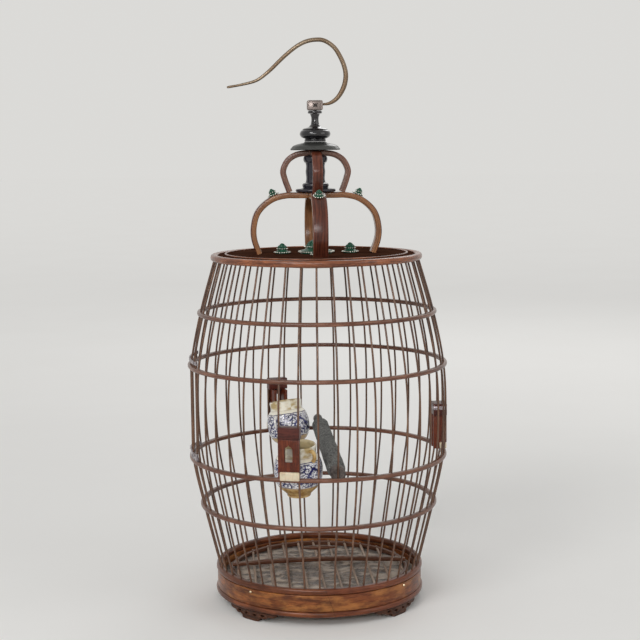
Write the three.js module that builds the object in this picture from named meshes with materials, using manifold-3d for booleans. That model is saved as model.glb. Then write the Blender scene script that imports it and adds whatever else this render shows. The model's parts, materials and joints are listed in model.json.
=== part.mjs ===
// Belly-shaped bamboo birdcage with a lacquered top board, a two-tier crown and a swivelling hook.
// Millimetres, +Z up. The origin is on the ground under the middle of the cage; the door is on -X.
import * as THREE from 'three';
import { mergeVertices } from 'three/addons/utils/BufferGeometryUtils.js';
import Module from 'manifold-3d';

const wasm = await Module();
wasm.setup();

// Fits between pieces
const SEAT_GAP = 0.3;
const HOLE_CLEARANCE = 0.35;
const RUNNING_GAP = 0.6;

// Base ring, from the ground up
const FOOT_HEIGHT = 12;
const LOWER_BEAD_HEIGHT = 7.2;
const BAND_HEIGHT = 20.6;
const UPPER_BEAD_HEIGHT = 8.1;
const BASE_RADIUS = 136;
const BASE_WALL = 8.5;
const BAND_INSET = 1.6;
const LOWER_BEAD_STANDOUT = 0.6;
const BEAD_BULGE = 2.6;
const BEAD_STEPS = 3;
const LEDGE_HEIGHT = 8;
const LEDGE_WIDTH = 4.5;

// Bars: their count, section, inset from the base's outside, and distance from the axis above it
const BAR_COUNT = 44;
const BAR_WIDTH = 2.3;
const BAR_STEPS = 7;
const BAR_SOCKET = 4;
const BAR_INSET_AT_BASE = 4.8;
const BAR_RADIUS_AT_BELLY = 168;
const BAR_RADIUS_AT_RIM = 131.8;
const BELLY_LEVEL = 203.8;
const RIM_LEVEL = 397.6;
const HOOP_LEVELS = {
  hoop_4: { level: 80.8, barRadius: 150.3 },
  hoop_3: { level: 143.8, barRadius: 165.9 },
  hoop_2: { level: 263.3, barRadius: 165.8 },
  hoop_1: { level: 330.7, barRadius: 151.2 },
};
const HOOP_WIDTH = 7.5;
const HOOP_HEIGHT = 4.6;
const HOOP_ROUNDING = 1.5;

// Top rim and board
const RIM_HEIGHT = 8.4;
const RIM_WIDTH = 9.6;
const RIM_BULGE = 3;
const RIM_LEDGE_HEIGHT = 2.6;
const RIM_LEDGE_WIDTH = 3.5;
const BOARD_THICKNESS = 5;
const INLAY_INSET = 9.9;
const INLAY_WIDTH = 2.6;
const INLAY_HEIGHT = 1.4;
const BOSS_RADIUS = 58.5;
const BOSS_HEIGHT = 10;

// Crown arches
const LOWER_CROWN = {
  height: 78.6, foot: 71.5, swell: 82, swellAt: 0.5, shoulder: 57, strip: 19, thick: 6,
};
const UPPER_CROWN = {
  height: 53.4, foot: 30, swell: 42.5, swellAt: 0.57, shoulder: 27, strip: 13, thick: 5.6,
};
const ARCH_STEPS = 26;
const BALUSTER_RADIUS = 26;
const FLANGE_RADIUS = 32;
const FLANGE_HEIGHT = 10.6;
const FLANGE_SEAT_RADIUS = 16;

// Finial and hook
const FINIAL_TIER = { radius: 15, height: 4 };
const FINIAL_BULB = { radius: 19, height: 15.7 };
const FINIAL_NECK = { radius: 5.25, height: 15.3 };
const COLLAR = { radius: 7.8, height: 3.6 };
const PIN_RADIUS = 2.2;
const PIN_REACH = 8.2;
const HOOK_BLOCK = { width: 19.8, depth: 13, height: 12.7, chamfer: 1.4 };
const HOOK_WIRE_RADIUS = 2.1;
const HOOK_TIP_RADIUS = 1.2;
const HOOK_ENTRY = { reach: 5.2, height: 7.6 };
const HOOK_LOOP = { reach: 40.9, rise: 82.2 };
const HOOK_TIP = { reach: 109.6, rise: 22.1 };

// Rosettes
const CENTRE_ROSETTE = { radius: 27, height: 6 };
const BOARD_ROSETTE = { radius: 12, height: 4.4, reach: 44 };
const SHOULDER_ROSETTE = { radius: 8, height: 5, reach: 54 };

// Door: how many pitches wide, and its rails
const DOOR_PITCHES = 5;
const DOOR_BOTTOM_RAIL = { width: 5, height: 9 };
const DOOR_TOP_RAIL = { width: 4.6, height: 4.4 };
const DOOR_SIDE_GAP = 1.2;

// Jar brackets: the pitches from the front or back middle, and their shape
const BRACKET_PITCHES = 2;
const BRACKET = { width: 26, depth: 23, height: 63, standout: 0.8, cap: 15.5, cheek: 4.2, plate: 4.5 };
const WINDOW = { width: 9.6, height: 11.5, ogee: 5.5, sill: 16 };
const BONE = { width: 25, depth: 5.6, height: 8.6 };

// Jars
const JAR = { radius: 29.5, height: 60, mouth: 22, foot: 15, wall: 2.6, belly: 0.5 };
const JAR_SIDES = 14;
const FRONT_JAR = { bottom: 163, lean: 5 };
const BACK_JAR = { bottom: 174, lean: 9 };

// Perch
const PERCH_RADIUS = 8;
const PERCH_TIP_RADIUS = 6;
const PERCH_TAPER = 26;
const PERCH_OVERHANG = 2.2;

// Floor
const FLOOR_BOARD_THICKNESS = 4;
const CLOTH_THICKNESS = 2;
const GRILLE_CLEARANCE = 10.5;
const GRILLE_RING = { width: 5, height: 6 };
const STICK_COUNT = 11;
const STICK_EDGE_GAP = 9.5;
const STICK_RADIUS = 1.75;
const STICK_OVERHANG = 5.5;
const CROSSBAR = { width: 5, height: 6, rise: 4.5 };
const HANDLE = { post: 3, stem: 9, length: 46, radius: 3.1, tip: 1.3 };

// Feet
const FOOT_APRON = 34;
const FOOT_SOLE = 9;
const FOOT_DEPTH = 6.5;

// Worked out from the sizes above
const PITCH = (2 * Math.PI) / BAR_COUNT;
const CHORD = 1 / Math.cos(PITCH / 2);
const lowerBeadZ = FOOT_HEIGHT + SEAT_GAP;
const bandZ = lowerBeadZ + LOWER_BEAD_HEIGHT + SEAT_GAP;
const upperBeadZ = bandZ + BAND_HEIGHT + SEAT_GAP;
const baseTop = upperBeadZ + UPPER_BEAD_HEIGHT;
const baseInner = BASE_RADIUS - BASE_WALL;
const barRadiusAtBase = BASE_RADIUS - BAR_INSET_AT_BASE;
const rimZ = baseTop + RIM_LEVEL;
const hoopZ = (name) => baseTop + HOOP_LEVELS[name].level;

const finish = (color, roughness, metalness = 0) =>
  new THREE.MeshStandardMaterial({ color, roughness, metalness });
const MATERIALS = {
  bamboo: finish(0x7a4f3c, 0.42),
  darkBamboo: finish(0x5e3a2c, 0.45),
  baseWood: finish(0xa0623a, 0.4),
  beadWood: finish(0x96583a, 0.4),
  lacquer: finish(0x2d1912, 0.15),
  crownWood: finish(0x6a3222, 0.3),
  palewood: finish(0xa98c6a, 0.5),
  ebony: finish(0x131317, 0.12),
  patina: finish(0x324132, 0.35, 0.4),
  brass: finish(0xa58252, 0.3, 1),
  agedMetal: finish(0x6e6a66, 0.4, 1),
  whiteMetal: finish(0xc8c4ba, 0.25, 1),
  silver: finish(0xb9c8b6, 0.35, 0.8),
  redwood: finish(0x782d19, 0.35),
  bone: finish(0xe1d2aa, 0.4),
  porcelain: finish(0xe4dcc0, 0.12),
  perchStone: finish(0x4b5050, 0.95),
  cloth: finish(0x827869, 0.95),
};

// Merges shared corners, drops triangles that collapsed on the axis, and turns the faces outward.
function weld(geometry) {
  const bare = geometry.clone();
  bare.deleteAttribute('normal');
  bare.deleteAttribute('uv');
  const merged = mergeVertices(bare, 1e-3);
  const corners = [];
  const source = merged.index.array;
  for (let i = 0; i < source.length; i += 3) {
    const [a, b, c] = [source[i], source[i + 1], source[i + 2]];
    if (a !== b && b !== c && c !== a) corners.push(a, b, c);
  }
  if (signedVolume(merged.attributes.position, corners) < 0) corners.reverse();
  merged.setIndex(corners);
  return merged;
}

function signedVolume(position, corners) {
  const a = new THREE.Vector3();
  const b = new THREE.Vector3();
  const c = new THREE.Vector3();
  let sum = 0;
  for (let i = 0; i < corners.length; i += 3) {
    a.fromBufferAttribute(position, corners[i]);
    b.fromBufferAttribute(position, corners[i + 1]);
    c.fromBufferAttribute(position, corners[i + 2]);
    sum += a.dot(b.cross(c));
  }
  return sum;
}

function solid(geometry) {
  const welded = weld(geometry);
  const vertProperties = new Float32Array(welded.attributes.position.array);
  const triVerts = new Uint32Array(welded.index.array);
  return new wasm.Manifold(new wasm.Mesh({ numProp: 3, vertProperties, triVerts }));
}

function shell(body) {
  const mesh = body.getMesh();
  const geometry = new THREE.BufferGeometry();
  geometry.setAttribute('position', new THREE.BufferAttribute(mesh.vertProperties, 3));
  geometry.setIndex(new THREE.BufferAttribute(mesh.triVerts, 1));
  return geometry;
}

const join = (...solids) => solids.reduce((whole, next) => whole.add(next));
const cut = (whole, ...tools) => tools.reduce((left, tool) => left.subtract(tool), whole);

// A box between two corners.
function block(x0, x1, y0, y1, z0, z1) {
  const geometry = new THREE.BoxGeometry(x1 - x0, y1 - y0, z1 - z0);
  return geometry.translate((x0 + x1) / 2, (y0 + y1) / 2, (z0 + z1) / 2);
}

// A profile of [radius, height] pairs turned about Z. A ring's profile closes on itself.
function turned(profile, segments) {
  const points = profile.map(([r, z]) => new THREE.Vector2(r, z));
  return new THREE.LatheGeometry(points, segments).rotateX(Math.PI / 2);
}

const ring = (profile, segments = BAR_COUNT) => turned([...profile, profile[0]], segments);
const disc = (radius, z, thickness, segments) => turned(
  [[0, z], [radius, z], [radius, z + thickness], [0, z + thickness]], segments);

// A bead section: flat inside, half round outside.
function beadProfile(inner, outer, z, height, bulge) {
  const profile = [[inner, z + height], [inner, z]];
  for (let i = 0; i <= BEAD_STEPS; i += 1) {
    const turn = (i / BEAD_STEPS - 0.5) * Math.PI;
    const r = outer - bulge + bulge * Math.cos(turn);
    profile.push([r, z + height / 2 + (height / 2) * Math.sin(turn)]);
  }
  return profile;
}

function regularShape(sides, radius) {
  const corners = [];
  for (let i = 0; i < sides; i += 1) {
    const turn = ((i + 0.5) * 2 * Math.PI) / sides;
    corners.push(new THREE.Vector2(radius * Math.cos(turn), radius * Math.sin(turn)));
  }
  return new THREE.Shape(corners);
}

// One bar stands in the XZ plane and follows the belly from the base bead into the top rim.
const barCurve = new THREE.CatmullRomCurve3([
  new THREE.Vector3(barRadiusAtBase - 1.2, 0, baseTop - BAR_SOCKET),
  new THREE.Vector3(barRadiusAtBase + 0.3, 0, baseTop + 2),
  new THREE.Vector3(HOOP_LEVELS.hoop_4.barRadius, 0, hoopZ('hoop_4')),
  new THREE.Vector3(HOOP_LEVELS.hoop_3.barRadius, 0, hoopZ('hoop_3')),
  new THREE.Vector3(BAR_RADIUS_AT_BELLY, 0, baseTop + BELLY_LEVEL),
  new THREE.Vector3(HOOP_LEVELS.hoop_2.barRadius, 0, hoopZ('hoop_2')),
  new THREE.Vector3(HOOP_LEVELS.hoop_1.barRadius, 0, hoopZ('hoop_1')),
  new THREE.Vector3(BAR_RADIUS_AT_RIM + 0.4, 0, rimZ - 2),
  new THREE.Vector3(BAR_RADIUS_AT_RIM - 1.2, 0, rimZ + BAR_SOCKET),
], false, 'centripetal');
const barStations = barCurve.getSpacedPoints(BAR_STEPS);

// Distance of the bars from the axis at a height.
function barRadiusAt(z) {
  for (let i = 1; i < barStations.length; i += 1) {
    const [low, high] = [barStations[i - 1], barStations[i]];
    if (z <= high.z) return low.x + ((high.x - low.x) * (z - low.z)) / (high.z - low.z);
  }
  return barStations[barStations.length - 1].x;
}

function bar(margin) {
  const half = (BAR_WIDTH / 2 + margin) * Math.SQRT2;
  const options = { steps: BAR_STEPS, bevelEnabled: false, extrudePath: barCurve };
  return new THREE.ExtrudeGeometry(regularShape(4, half), options);
}

const barAngle = (k) => (k + 0.5) * PITCH;
const barAt = (k, margin = 0) => bar(margin).rotateZ(barAngle(k));
const halfDoor = (DOOR_PITCHES - 1) / 2;
const isDoorBar = (k) => Math.abs(k + 0.5 - BAR_COUNT / 2) < DOOR_PITCHES / 2 - 0.1;
const ALL_BARS = Array.from({ length: BAR_COUNT }, (_, k) => k);
const FAR = 6 * BASE_RADIUS;
const below = (z) => solid(block(-FAR, FAR, -FAR, FAR, z - FAR, z));
const above = (z) => solid(block(-FAR, FAR, -FAR, FAR, z, z + FAR));

// Half of a foot's face from its sole to its top: shares of the apron's wing and of the height.
const FOOT_OUTLINE = [
  [0, 0], [0.13, 0.12], [0.12, 0.34], [0.02, 0.52], [0.18, 0.68], [0.4, 0.6], [0.6, 0.72],
  [0.88, 0.66], [1, 0.85], [0.92, 1], [0.32, 1],
];

// Base
function footBody(angle) {
  const wing = FOOT_APRON - FOOT_SOLE;
  const side = (s) => FOOT_OUTLINE.map(([x, z]) =>
    new THREE.Vector2(s * (FOOT_SOLE + wing * x), FOOT_HEIGHT * z));
  const outline = [...side(1), new THREE.Vector2(0, FOOT_HEIGHT), ...side(-1).reverse()];
  outline.push(new THREE.Vector2(0, 0));
  const options = { depth: FOOT_DEPTH, bevelEnabled: false };
  const geometry = new THREE.ExtrudeGeometry(new THREE.Shape(outline), options);
  const position = geometry.attributes.position;
  const outer = BASE_RADIUS - 1.5;
  for (let i = 0; i < position.count; i += 1) {
    const turn = position.getX(i) / outer;
    const r = outer - FOOT_DEPTH + position.getZ(i);
    position.setXYZ(i, r * Math.cos(turn), r * Math.sin(turn), position.getY(i));
  }
  return geometry.rotateZ(angle);
}

const lowerBead = () => ring(beadProfile(
  baseInner, BASE_RADIUS + LOWER_BEAD_STANDOUT, lowerBeadZ, LOWER_BEAD_HEIGHT, BEAD_BULGE));

function bandBody() {
  const outer = BASE_RADIUS - BAND_INSET;
  const ledge = baseInner - LEDGE_WIDTH;
  return ring([
    [ledge, bandZ], [outer, bandZ], [outer, bandZ + BAND_HEIGHT], [baseInner, bandZ + BAND_HEIGHT],
    [baseInner, bandZ + LEDGE_HEIGHT], [ledge, bandZ + LEDGE_HEIGHT],
  ]);
}

// A quarter of the base's upper bead with the eleven bars that are pegged into it.
function wallQuarter(quarter) {
  const bead = solid(ring(beadProfile(
    baseInner, BASE_RADIUS, upperBeadZ, UPPER_BEAD_HEIGHT, BEAD_BULGE)));
  const joint = SEAT_GAP / 2;
  const wedge = block(joint, FAR, joint, FAR, 0, FAR).rotateZ((quarter * Math.PI) / 2);
  const arc = bead.intersect(solid(wedge));
  const perQuarter = BAR_COUNT / 4;
  const bars = ALL_BARS.slice(quarter * perQuarter, (quarter + 1) * perQuarter).map((k) => {
    const whole = solid(barAt(k));
    return isDoorBar(k) ? whole.intersect(below(hoopZ('hoop_3'))) : whole;
  });
  return join(arc, ...bars);
}

// Hoops are drilled for every bar that passes.
function hoopRing(name) {
  const z = hoopZ(name);
  const middle = barRadiusAt(z);
  const inner = (middle - HOOP_WIDTH / 2) * CHORD;
  const outer = (middle + HOOP_WIDTH / 2) * CHORD;
  const half = HOOP_HEIGHT / 2;
  return solid(ring([
    [inner, z], [inner + HOOP_ROUNDING, z - half], [outer - HOOP_ROUNDING, z - half],
    [outer, z], [outer - HOOP_ROUNDING, z + half], [inner + HOOP_ROUNDING, z + half],
  ]));
}

const drilled = (name) => cut(hoopRing(name), ...ALL_BARS.map((k) => solid(barAt(k, HOLE_CLEARANCE))));

// The hoop over the door holds the upper ends of the bars that the doorway interrupts.
function lintelHoop() {
  const holes = ALL_BARS.filter((k) => !isDoorBar(k)).map((k) => solid(barAt(k, HOLE_CLEARANCE)));
  const stubs = ALL_BARS.filter(isDoorBar).map((k) => solid(barAt(k)).intersect(above(hoopZ('hoop_2'))));
  const slots = doorAngles.map((turn) => solid(doorBar(turn, RUNNING_GAP)));
  return join(cut(hoopRing('hoop_2'), ...holes, ...slots), ...stubs);
}

// The hoop under the door has blind holes there for the lower bar ends.
function sillHoop() {
  const holes = ALL_BARS.map((k) => {
    const tool = solid(barAt(k, HOLE_CLEARANCE));
    return isDoorBar(k) ? tool.intersect(below(hoopZ('hoop_3') + SEAT_GAP)) : tool;
  });
  return cut(hoopRing('hoop_3'), ...holes);
}

// Door
const doorRadius = barRadiusAt(hoopZ('hoop_2'));
const doorAngles = Array.from({ length: DOOR_PITCHES }, (_, j) => Math.PI + (j - halfDoor) * PITCH);
const doorSillZ = hoopZ('hoop_3') + HOOP_HEIGHT / 2 + SEAT_GAP;
const doorRailTop = doorSillZ + DOOR_BOTTOM_RAIL.height;
const doorHeadZ = hoopZ('hoop_2') + HOOP_HEIGHT / 2 + 4;
const doorBarTop = doorHeadZ + DOOR_TOP_RAIL.height / 2;

function doorBar(turn, margin) {
  const half = BAR_WIDTH / 2 + margin;
  const top = doorBarTop + (margin > 0 ? SEAT_GAP : 0);
  const straight = block(doorRadius - half, doorRadius + half, -half, half, doorRailTop - 2, top);
  return straight.rotateZ(turn);
}

// An arc of the door's rails between its two jamb bars.
function doorRail(width, height, z) {
  const spread = (DOOR_PITCHES / 2) * PITCH - (BAR_WIDTH / 2 + DOOR_SIDE_GAP) / doorRadius;
  const inner = doorRadius - width / 2;
  const outer = doorRadius + width / 2;
  const shape = new THREE.Shape();
  shape.absarc(0, 0, outer, Math.PI - spread, Math.PI + spread, false);
  shape.absarc(0, 0, inner, Math.PI + spread, Math.PI - spread, true);
  const options = { depth: height, bevelEnabled: false, curveSegments: DOOR_PITCHES * 2 };
  return new THREE.ExtrudeGeometry(shape, options).translate(0, 0, z);
}

function doorFrame() {
  const rail = solid(doorRail(DOOR_BOTTOM_RAIL.width, DOOR_BOTTOM_RAIL.height, doorSillZ));
  return join(rail, ...doorAngles.map((turn) => solid(doorBar(turn, 0))));
}

// The head rail is pegged on the door bars and notched round the cage bars behind it.
function doorHead() {
  const rail = solid(doorRail(DOOR_TOP_RAIL.width, DOOR_TOP_RAIL.height, doorHeadZ));
  const sockets = doorAngles.map((turn) => solid(doorBar(turn, SEAT_GAP)));
  const notches = ALL_BARS.filter(isDoorBar).map((k) => solid(barAt(k, RUNNING_GAP)));
  return cut(rail, ...sockets, ...notches);
}

// Top rim and board
function rimRing() {
  const outer = BAR_RADIUS_AT_RIM + 5;
  const inner = outer - RIM_WIDTH;
  const profile = beadProfile(inner, outer, rimZ, RIM_HEIGHT, RIM_BULGE);
  profile.splice(1, 1, [inner, rimZ + RIM_LEDGE_HEIGHT],
    [inner - RIM_LEDGE_WIDTH, rimZ + RIM_LEDGE_HEIGHT], [inner - RIM_LEDGE_WIDTH, rimZ]);
  const sockets = ALL_BARS.map((k) => solid(barAt(k, HOLE_CLEARANCE).translate(0, 0, SEAT_GAP)));
  return cut(solid(ring(profile)), ...sockets);
}

const boardZ = rimZ + RIM_LEDGE_HEIGHT + SEAT_GAP;
const boardTop = boardZ + BOARD_THICKNESS;
const boardRadius = BAR_RADIUS_AT_RIM + 5 - RIM_WIDTH - SEAT_GAP;

const boardBody = () => disc(boardRadius, boardZ, BOARD_THICKNESS, BAR_COUNT);

function inlayRing() {
  const z = boardTop + SEAT_GAP;
  const middle = boardRadius - INLAY_INSET;
  return ring([
    [middle - INLAY_WIDTH / 2, z], [middle + INLAY_WIDTH / 2, z], [middle, z + INLAY_HEIGHT],
  ]);
}

function bossBody() {
  const top = boardZ - SEAT_GAP;
  const low = top - BOSS_HEIGHT;
  return turned([
    [0, low], [BOSS_RADIUS - 3, low], [BOSS_RADIUS, low + 3], [BOSS_RADIUS, low + 6],
    [BOSS_RADIUS - 2, top], [0, top],
  ], 32);
}

// Crown: strips bent over the board, half-lapped where two of them cross.
function archStrip(form, footZ) {
  const top = footZ + form.height - form.thick / 2;
  const swellZ = footZ + form.height * form.swellAt;
  const side = [
    new THREE.Vector3(form.foot, 0, footZ + 1), new THREE.Vector3(form.foot + 1.4, 0, footZ + 6),
    new THREE.Vector3(form.swell, 0, swellZ),
    new THREE.Vector3(form.swell - 3.5, 0, swellZ + (top - swellZ) * 0.62),
    new THREE.Vector3(form.shoulder, 0, top - 0.6), new THREE.Vector3(form.shoulder - 12, 0, top),
  ];
  const mirrored = side.map((p) => new THREE.Vector3(-p.x, 0, p.z)).reverse();
  const curve = new THREE.CatmullRomCurve3([...side, ...mirrored], false, 'centripetal');
  const half = form.thick / 2;
  const inner = [];
  const outer = [];
  for (let i = 0; i <= ARCH_STEPS; i += 1) {
    const at = curve.getPointAt(i / ARCH_STEPS);
    const along = curve.getTangentAt(i / ARCH_STEPS);
    outer.push(new THREE.Vector2(at.x + along.z * half, at.z - along.x * half));
    inner.push(new THREE.Vector2(at.x - along.z * half, at.z + along.x * half));
  }
  const outline = new THREE.Shape([...outer, ...inner.reverse()]);
  const options = { depth: form.strip, bevelEnabled: false };
  const strip = new THREE.ExtrudeGeometry(outline, options).translate(0, 0, -form.strip / 2);
  const body = solid(strip.rotateX(Math.PI / 2));
  return body.intersect(above(footZ + SEAT_GAP));
}

function crossedArches(form, footZ) {
  const strip = archStrip(form, footZ);
  const top = footZ + form.height;
  const middle = top - form.thick / 2;
  const half = form.strip / 2 + SEAT_GAP;
  const upperHalf = solid(block(-half, half, -half, half, middle - SEAT_GAP / 2, top + 5));
  const lowerHalf = solid(block(-half, half, -half, half, top - form.thick - 5, middle + SEAT_GAP / 2));
  const turnedStrip = strip.rotate([0, 0, 90]);
  return { x: cut(strip, upperHalf), y: cut(turnedStrip, lowerHalf) };
}

const lowerFootZ = boardTop;
const upperFootZ = lowerFootZ + LOWER_CROWN.height;
const crownTop = upperFootZ + UPPER_CROWN.height;
const lowerArches = crossedArches(LOWER_CROWN, lowerFootZ);
const upperArches = crossedArches(UPPER_CROWN, upperFootZ);

function balusterBody() {
  const low = upperFootZ + SEAT_GAP;
  const high = crownTop - UPPER_CROWN.thick - SEAT_GAP;
  const span = high - low;
  const r = BALUSTER_RADIUS;
  return turned([
    [0, low], [r * 0.92, low], [r * 0.92, low + span * 0.06], [r * 0.62, low + span * 0.12],
    [r * 0.5, low + span * 0.2], [r * 0.3, low + span * 0.3], [r * 0.34, low + span * 0.5],
    [r * 0.42, low + span * 0.64], [r * 0.3, low + span * 0.78], [r * 0.5, low + span * 0.86],
    [r * 0.5, low + span * 0.94], [r * 0.32, high], [0, high],
  ], 12);
}

const flangeZ = crownTop + SEAT_GAP;
const finialZ = flangeZ + FLANGE_HEIGHT + SEAT_GAP;

function flangeBody() {
  const top = flangeZ + FLANGE_HEIGHT;
  return turned([
    [0, flangeZ], [FLANGE_RADIUS - 1, flangeZ], [FLANGE_RADIUS, flangeZ + 1.4],
    [FLANGE_RADIUS - 1.5, flangeZ + 3.4], [FLANGE_RADIUS * 0.78, flangeZ + FLANGE_HEIGHT * 0.66],
    [FLANGE_SEAT_RADIUS, top], [0, top],
  ], 28);
}

const bulbZ = finialZ + FINIAL_TIER.height;
const neckZ = bulbZ + FINIAL_BULB.height;
const collarZ = neckZ + FINIAL_NECK.height + SEAT_GAP;
const blockZ = collarZ + COLLAR.height + RUNNING_GAP;
const pinTop = blockZ + PIN_REACH;

// Turned finial, ending in the pin that the hook swivels on.
function finialBody() {
  const { radius, height } = FINIAL_BULB;
  const neck = FINIAL_NECK.radius;
  const seat = collarZ - SEAT_GAP;
  return turned([
    [0, finialZ], [FINIAL_TIER.radius, finialZ], [FINIAL_TIER.radius, bulbZ - 0.8],
    [radius * 0.74, bulbZ], [radius * 0.96, bulbZ + height * 0.2], [radius, bulbZ + height * 0.42],
    [radius * 0.9, bulbZ + height * 0.68], [radius * 0.6, bulbZ + height * 0.9],
    [neck * 1.25, neckZ], [neck, neckZ + 4], [neck * 0.9, seat - 5], [neck * 1.2, seat],
    [PIN_RADIUS, seat], [PIN_RADIUS, pinTop], [0, pinTop],
  ], 16);
}

function collarBody() {
  const bore = PIN_RADIUS + RUNNING_GAP;
  const top = collarZ + COLLAR.height;
  return ring([
    [bore, collarZ], [COLLAR.radius - 1, collarZ], [COLLAR.radius, collarZ + COLLAR.height / 2],
    [COLLAR.radius - 1, top], [bore, top],
  ], 12);
}

// The hook's wire, from the block's right face over the top and down to the tip. The loop's points
// are shares of its reach and rise, and the tail's of the tip's reach and its drop from the top.
const hookZ = blockZ + HOOK_ENTRY.height;
const hookLoop = [
  [0.47, 0.015], [0.71, 0.09], [0.92, 0.25], [1, 0.405], [0.98, 0.54], [0.85, 0.715],
  [0.62, 0.89], [0.3, 0.99], [0.02, 1], [-0.25, 0.975], [-0.53, 0.91], [-0.94, 0.755],
].map(([x, z]) => [x * HOOK_LOOP.reach, z * HOOK_LOOP.rise]);
const hookTail = [[0.53, 0.32], [0.66, 0.145], [0.82, 0.06], [1, 0]].map(([x, z]) => [
  -x * HOOK_TIP.reach, HOOK_TIP.rise + z * (HOOK_LOOP.rise - HOOK_TIP.rise)]);
const hookCurve = new THREE.CatmullRomCurve3([
  [HOOK_ENTRY.reach, 0], [HOOK_BLOCK.width / 2 + SEAT_GAP, 0], ...hookLoop, ...hookTail,
].map(([x, rise]) => new THREE.Vector3(x, 0, hookZ + rise)), false, 'centripetal');
const HOOK_STEPS = 30;

// The wire is thickest over the top and thins towards its tip.
function hookRadiusAt(share, margin) {
  const thin = THREE.MathUtils.smoothstep(share, 0.62, 1);
  return THREE.MathUtils.lerp(HOOK_WIRE_RADIUS, HOOK_TIP_RADIUS, thin) + margin;
}

function hookWire(margin) {
  const options = { steps: HOOK_STEPS, bevelEnabled: false, extrudePath: hookCurve };
  const geometry = new THREE.ExtrudeGeometry(regularShape(6, 1), options);
  const stations = hookCurve.getSpacedPoints(HOOK_STEPS);
  const position = geometry.attributes.position;
  const corner = new THREE.Vector3();
  for (let i = 0; i < position.count; i += 1) {
    corner.fromBufferAttribute(position, i);
    let nearest = 0;
    stations.forEach((station, n) => {
      if (corner.distanceTo(station) < corner.distanceTo(stations[nearest])) nearest = n;
    });
    const scale = hookRadiusAt(nearest / HOOK_STEPS, margin);
    corner.sub(stations[nearest]).multiplyScalar(scale).add(stations[nearest]);
    position.setXYZ(i, corner.x, corner.y, corner.z);
  }
  return geometry;
}

function hookBlockBody() {
  const { width, depth, height, chamfer } = HOOK_BLOCK;
  const outline = new THREE.Shape([
    [-width / 2 + chamfer, 0], [width / 2 - chamfer, 0], [width / 2, chamfer],
    [width / 2, height - chamfer], [width / 2 - chamfer, height], [-width / 2 + chamfer, height],
    [-width / 2, height - chamfer], [-width / 2, chamfer],
  ].map(([x, y]) => new THREE.Vector2(x, y)));
  const plate = new THREE.ExtrudeGeometry(outline, { depth, bevelEnabled: false });
  plate.translate(0, 0, -depth / 2).rotateX(Math.PI / 2).translate(0, 0, blockZ);
  const boreTop = pinTop + RUNNING_GAP;
  const bore = turned([
    [0, blockZ - 5], [PIN_RADIUS + RUNNING_GAP, blockZ - 5], [PIN_RADIUS + RUNNING_GAP, boreTop],
    [0, boreTop],
  ], 12);
  const wireHole = hookWire(SEAT_GAP).translate(-SEAT_GAP, 0, 0);
  return cut(solid(plate), solid(bore), solid(wireHole));
}

// Rosettes
function rosetteBody({ radius, height }, x, y, z) {
  return turned([
    [0, 0], [radius, 0], [radius * 0.9, height * 0.34], [radius * 0.56, height * 0.46],
    [radius * 0.46, height * 0.78], [0, height],
  ], 10).translate(x, y, z + SEAT_GAP);
}

// Jar brackets stand on the third hoop and are grooved for the two bars beside them.
const bracketZ = hoopZ('hoop_3') + HOOP_HEIGHT / 2 + SEAT_GAP;
const bracketFace = barRadiusAt(bracketZ + BRACKET.height) + BRACKET.standout;
const bracketBack = bracketFace - BRACKET.depth;

function ogeeWindow(bottom) {
  const half = WINDOW.width / 2;
  const spring = bottom + WINDOW.height;
  const shape = new THREE.Shape();
  shape.moveTo(-half, bottom);
  shape.lineTo(half, bottom);
  shape.lineTo(half, spring);
  shape.quadraticCurveTo(half, spring + WINDOW.ogee * 0.6, half * 0.35, spring + WINDOW.ogee * 0.6);
  shape.lineTo(0, spring + WINDOW.ogee);
  shape.lineTo(-half * 0.35, spring + WINDOW.ogee * 0.6);
  shape.quadraticCurveTo(-half, spring + WINDOW.ogee * 0.6, -half, spring);
  const options = { depth: 2 * BRACKET.depth, bevelEnabled: false, curveSegments: 4 };
  const prism = new THREE.ExtrudeGeometry(shape, options);
  return prism.rotateX(Math.PI / 2).rotateZ(Math.PI / 2).translate(bracketBack - 5, 0, 0);
}

const boneBlock = () => block(
  bracketFace - BONE.depth, bracketFace, -BONE.width / 2, BONE.width / 2, bracketZ, bracketZ + BONE.height);

// The step in the bracket's face that the bone bar sits in runs out at both sides.
const boneStep = () => block(
  bracketFace - BONE.depth - SEAT_GAP, bracketFace + BONE.depth, -BRACKET.width, BRACKET.width,
  bracketZ - SEAT_GAP, bracketZ + BONE.height + SEAT_GAP);

function bracketBody(pitches) {
  const half = BRACKET.width / 2;
  const top = bracketZ + BRACKET.height;
  const outer = solid(block(bracketBack, bracketFace, -half, half, bracketZ, top));
  const niche = solid(block(bracketBack - 1, bracketFace - BRACKET.plate, -half + BRACKET.cheek,
    half - BRACKET.cheek, bracketZ - 1, top - BRACKET.cap));
  const window = solid(ogeeWindow(bracketZ + WINDOW.sill));
  const body = cut(outer, niche, window, solid(boneStep()));
  return cut(body.rotate([0, 0, degrees(pitches * PITCH)]), ...neighbourBars(pitches));
}

const degrees = (radians) => (radians * 180) / Math.PI;
const neighbourBars = (pitches) => [pitches - 1, pitches].map((k) => solid(barAt(k, HOLE_CLEARANCE)));

function boneBody(pitches) {
  const piece = solid(boneBlock()).rotate([0, 0, degrees(pitches * PITCH)]);
  return cut(piece, ...neighbourBars(pitches));
}

const quarterPitches = BAR_COUNT / 4;
const BRACKET_PLACES = {
  front: 3 * quarterPitches - BRACKET_PITCHES,
  back: quarterPitches + BRACKET_PITCHES,
  right: 0,
};

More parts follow.
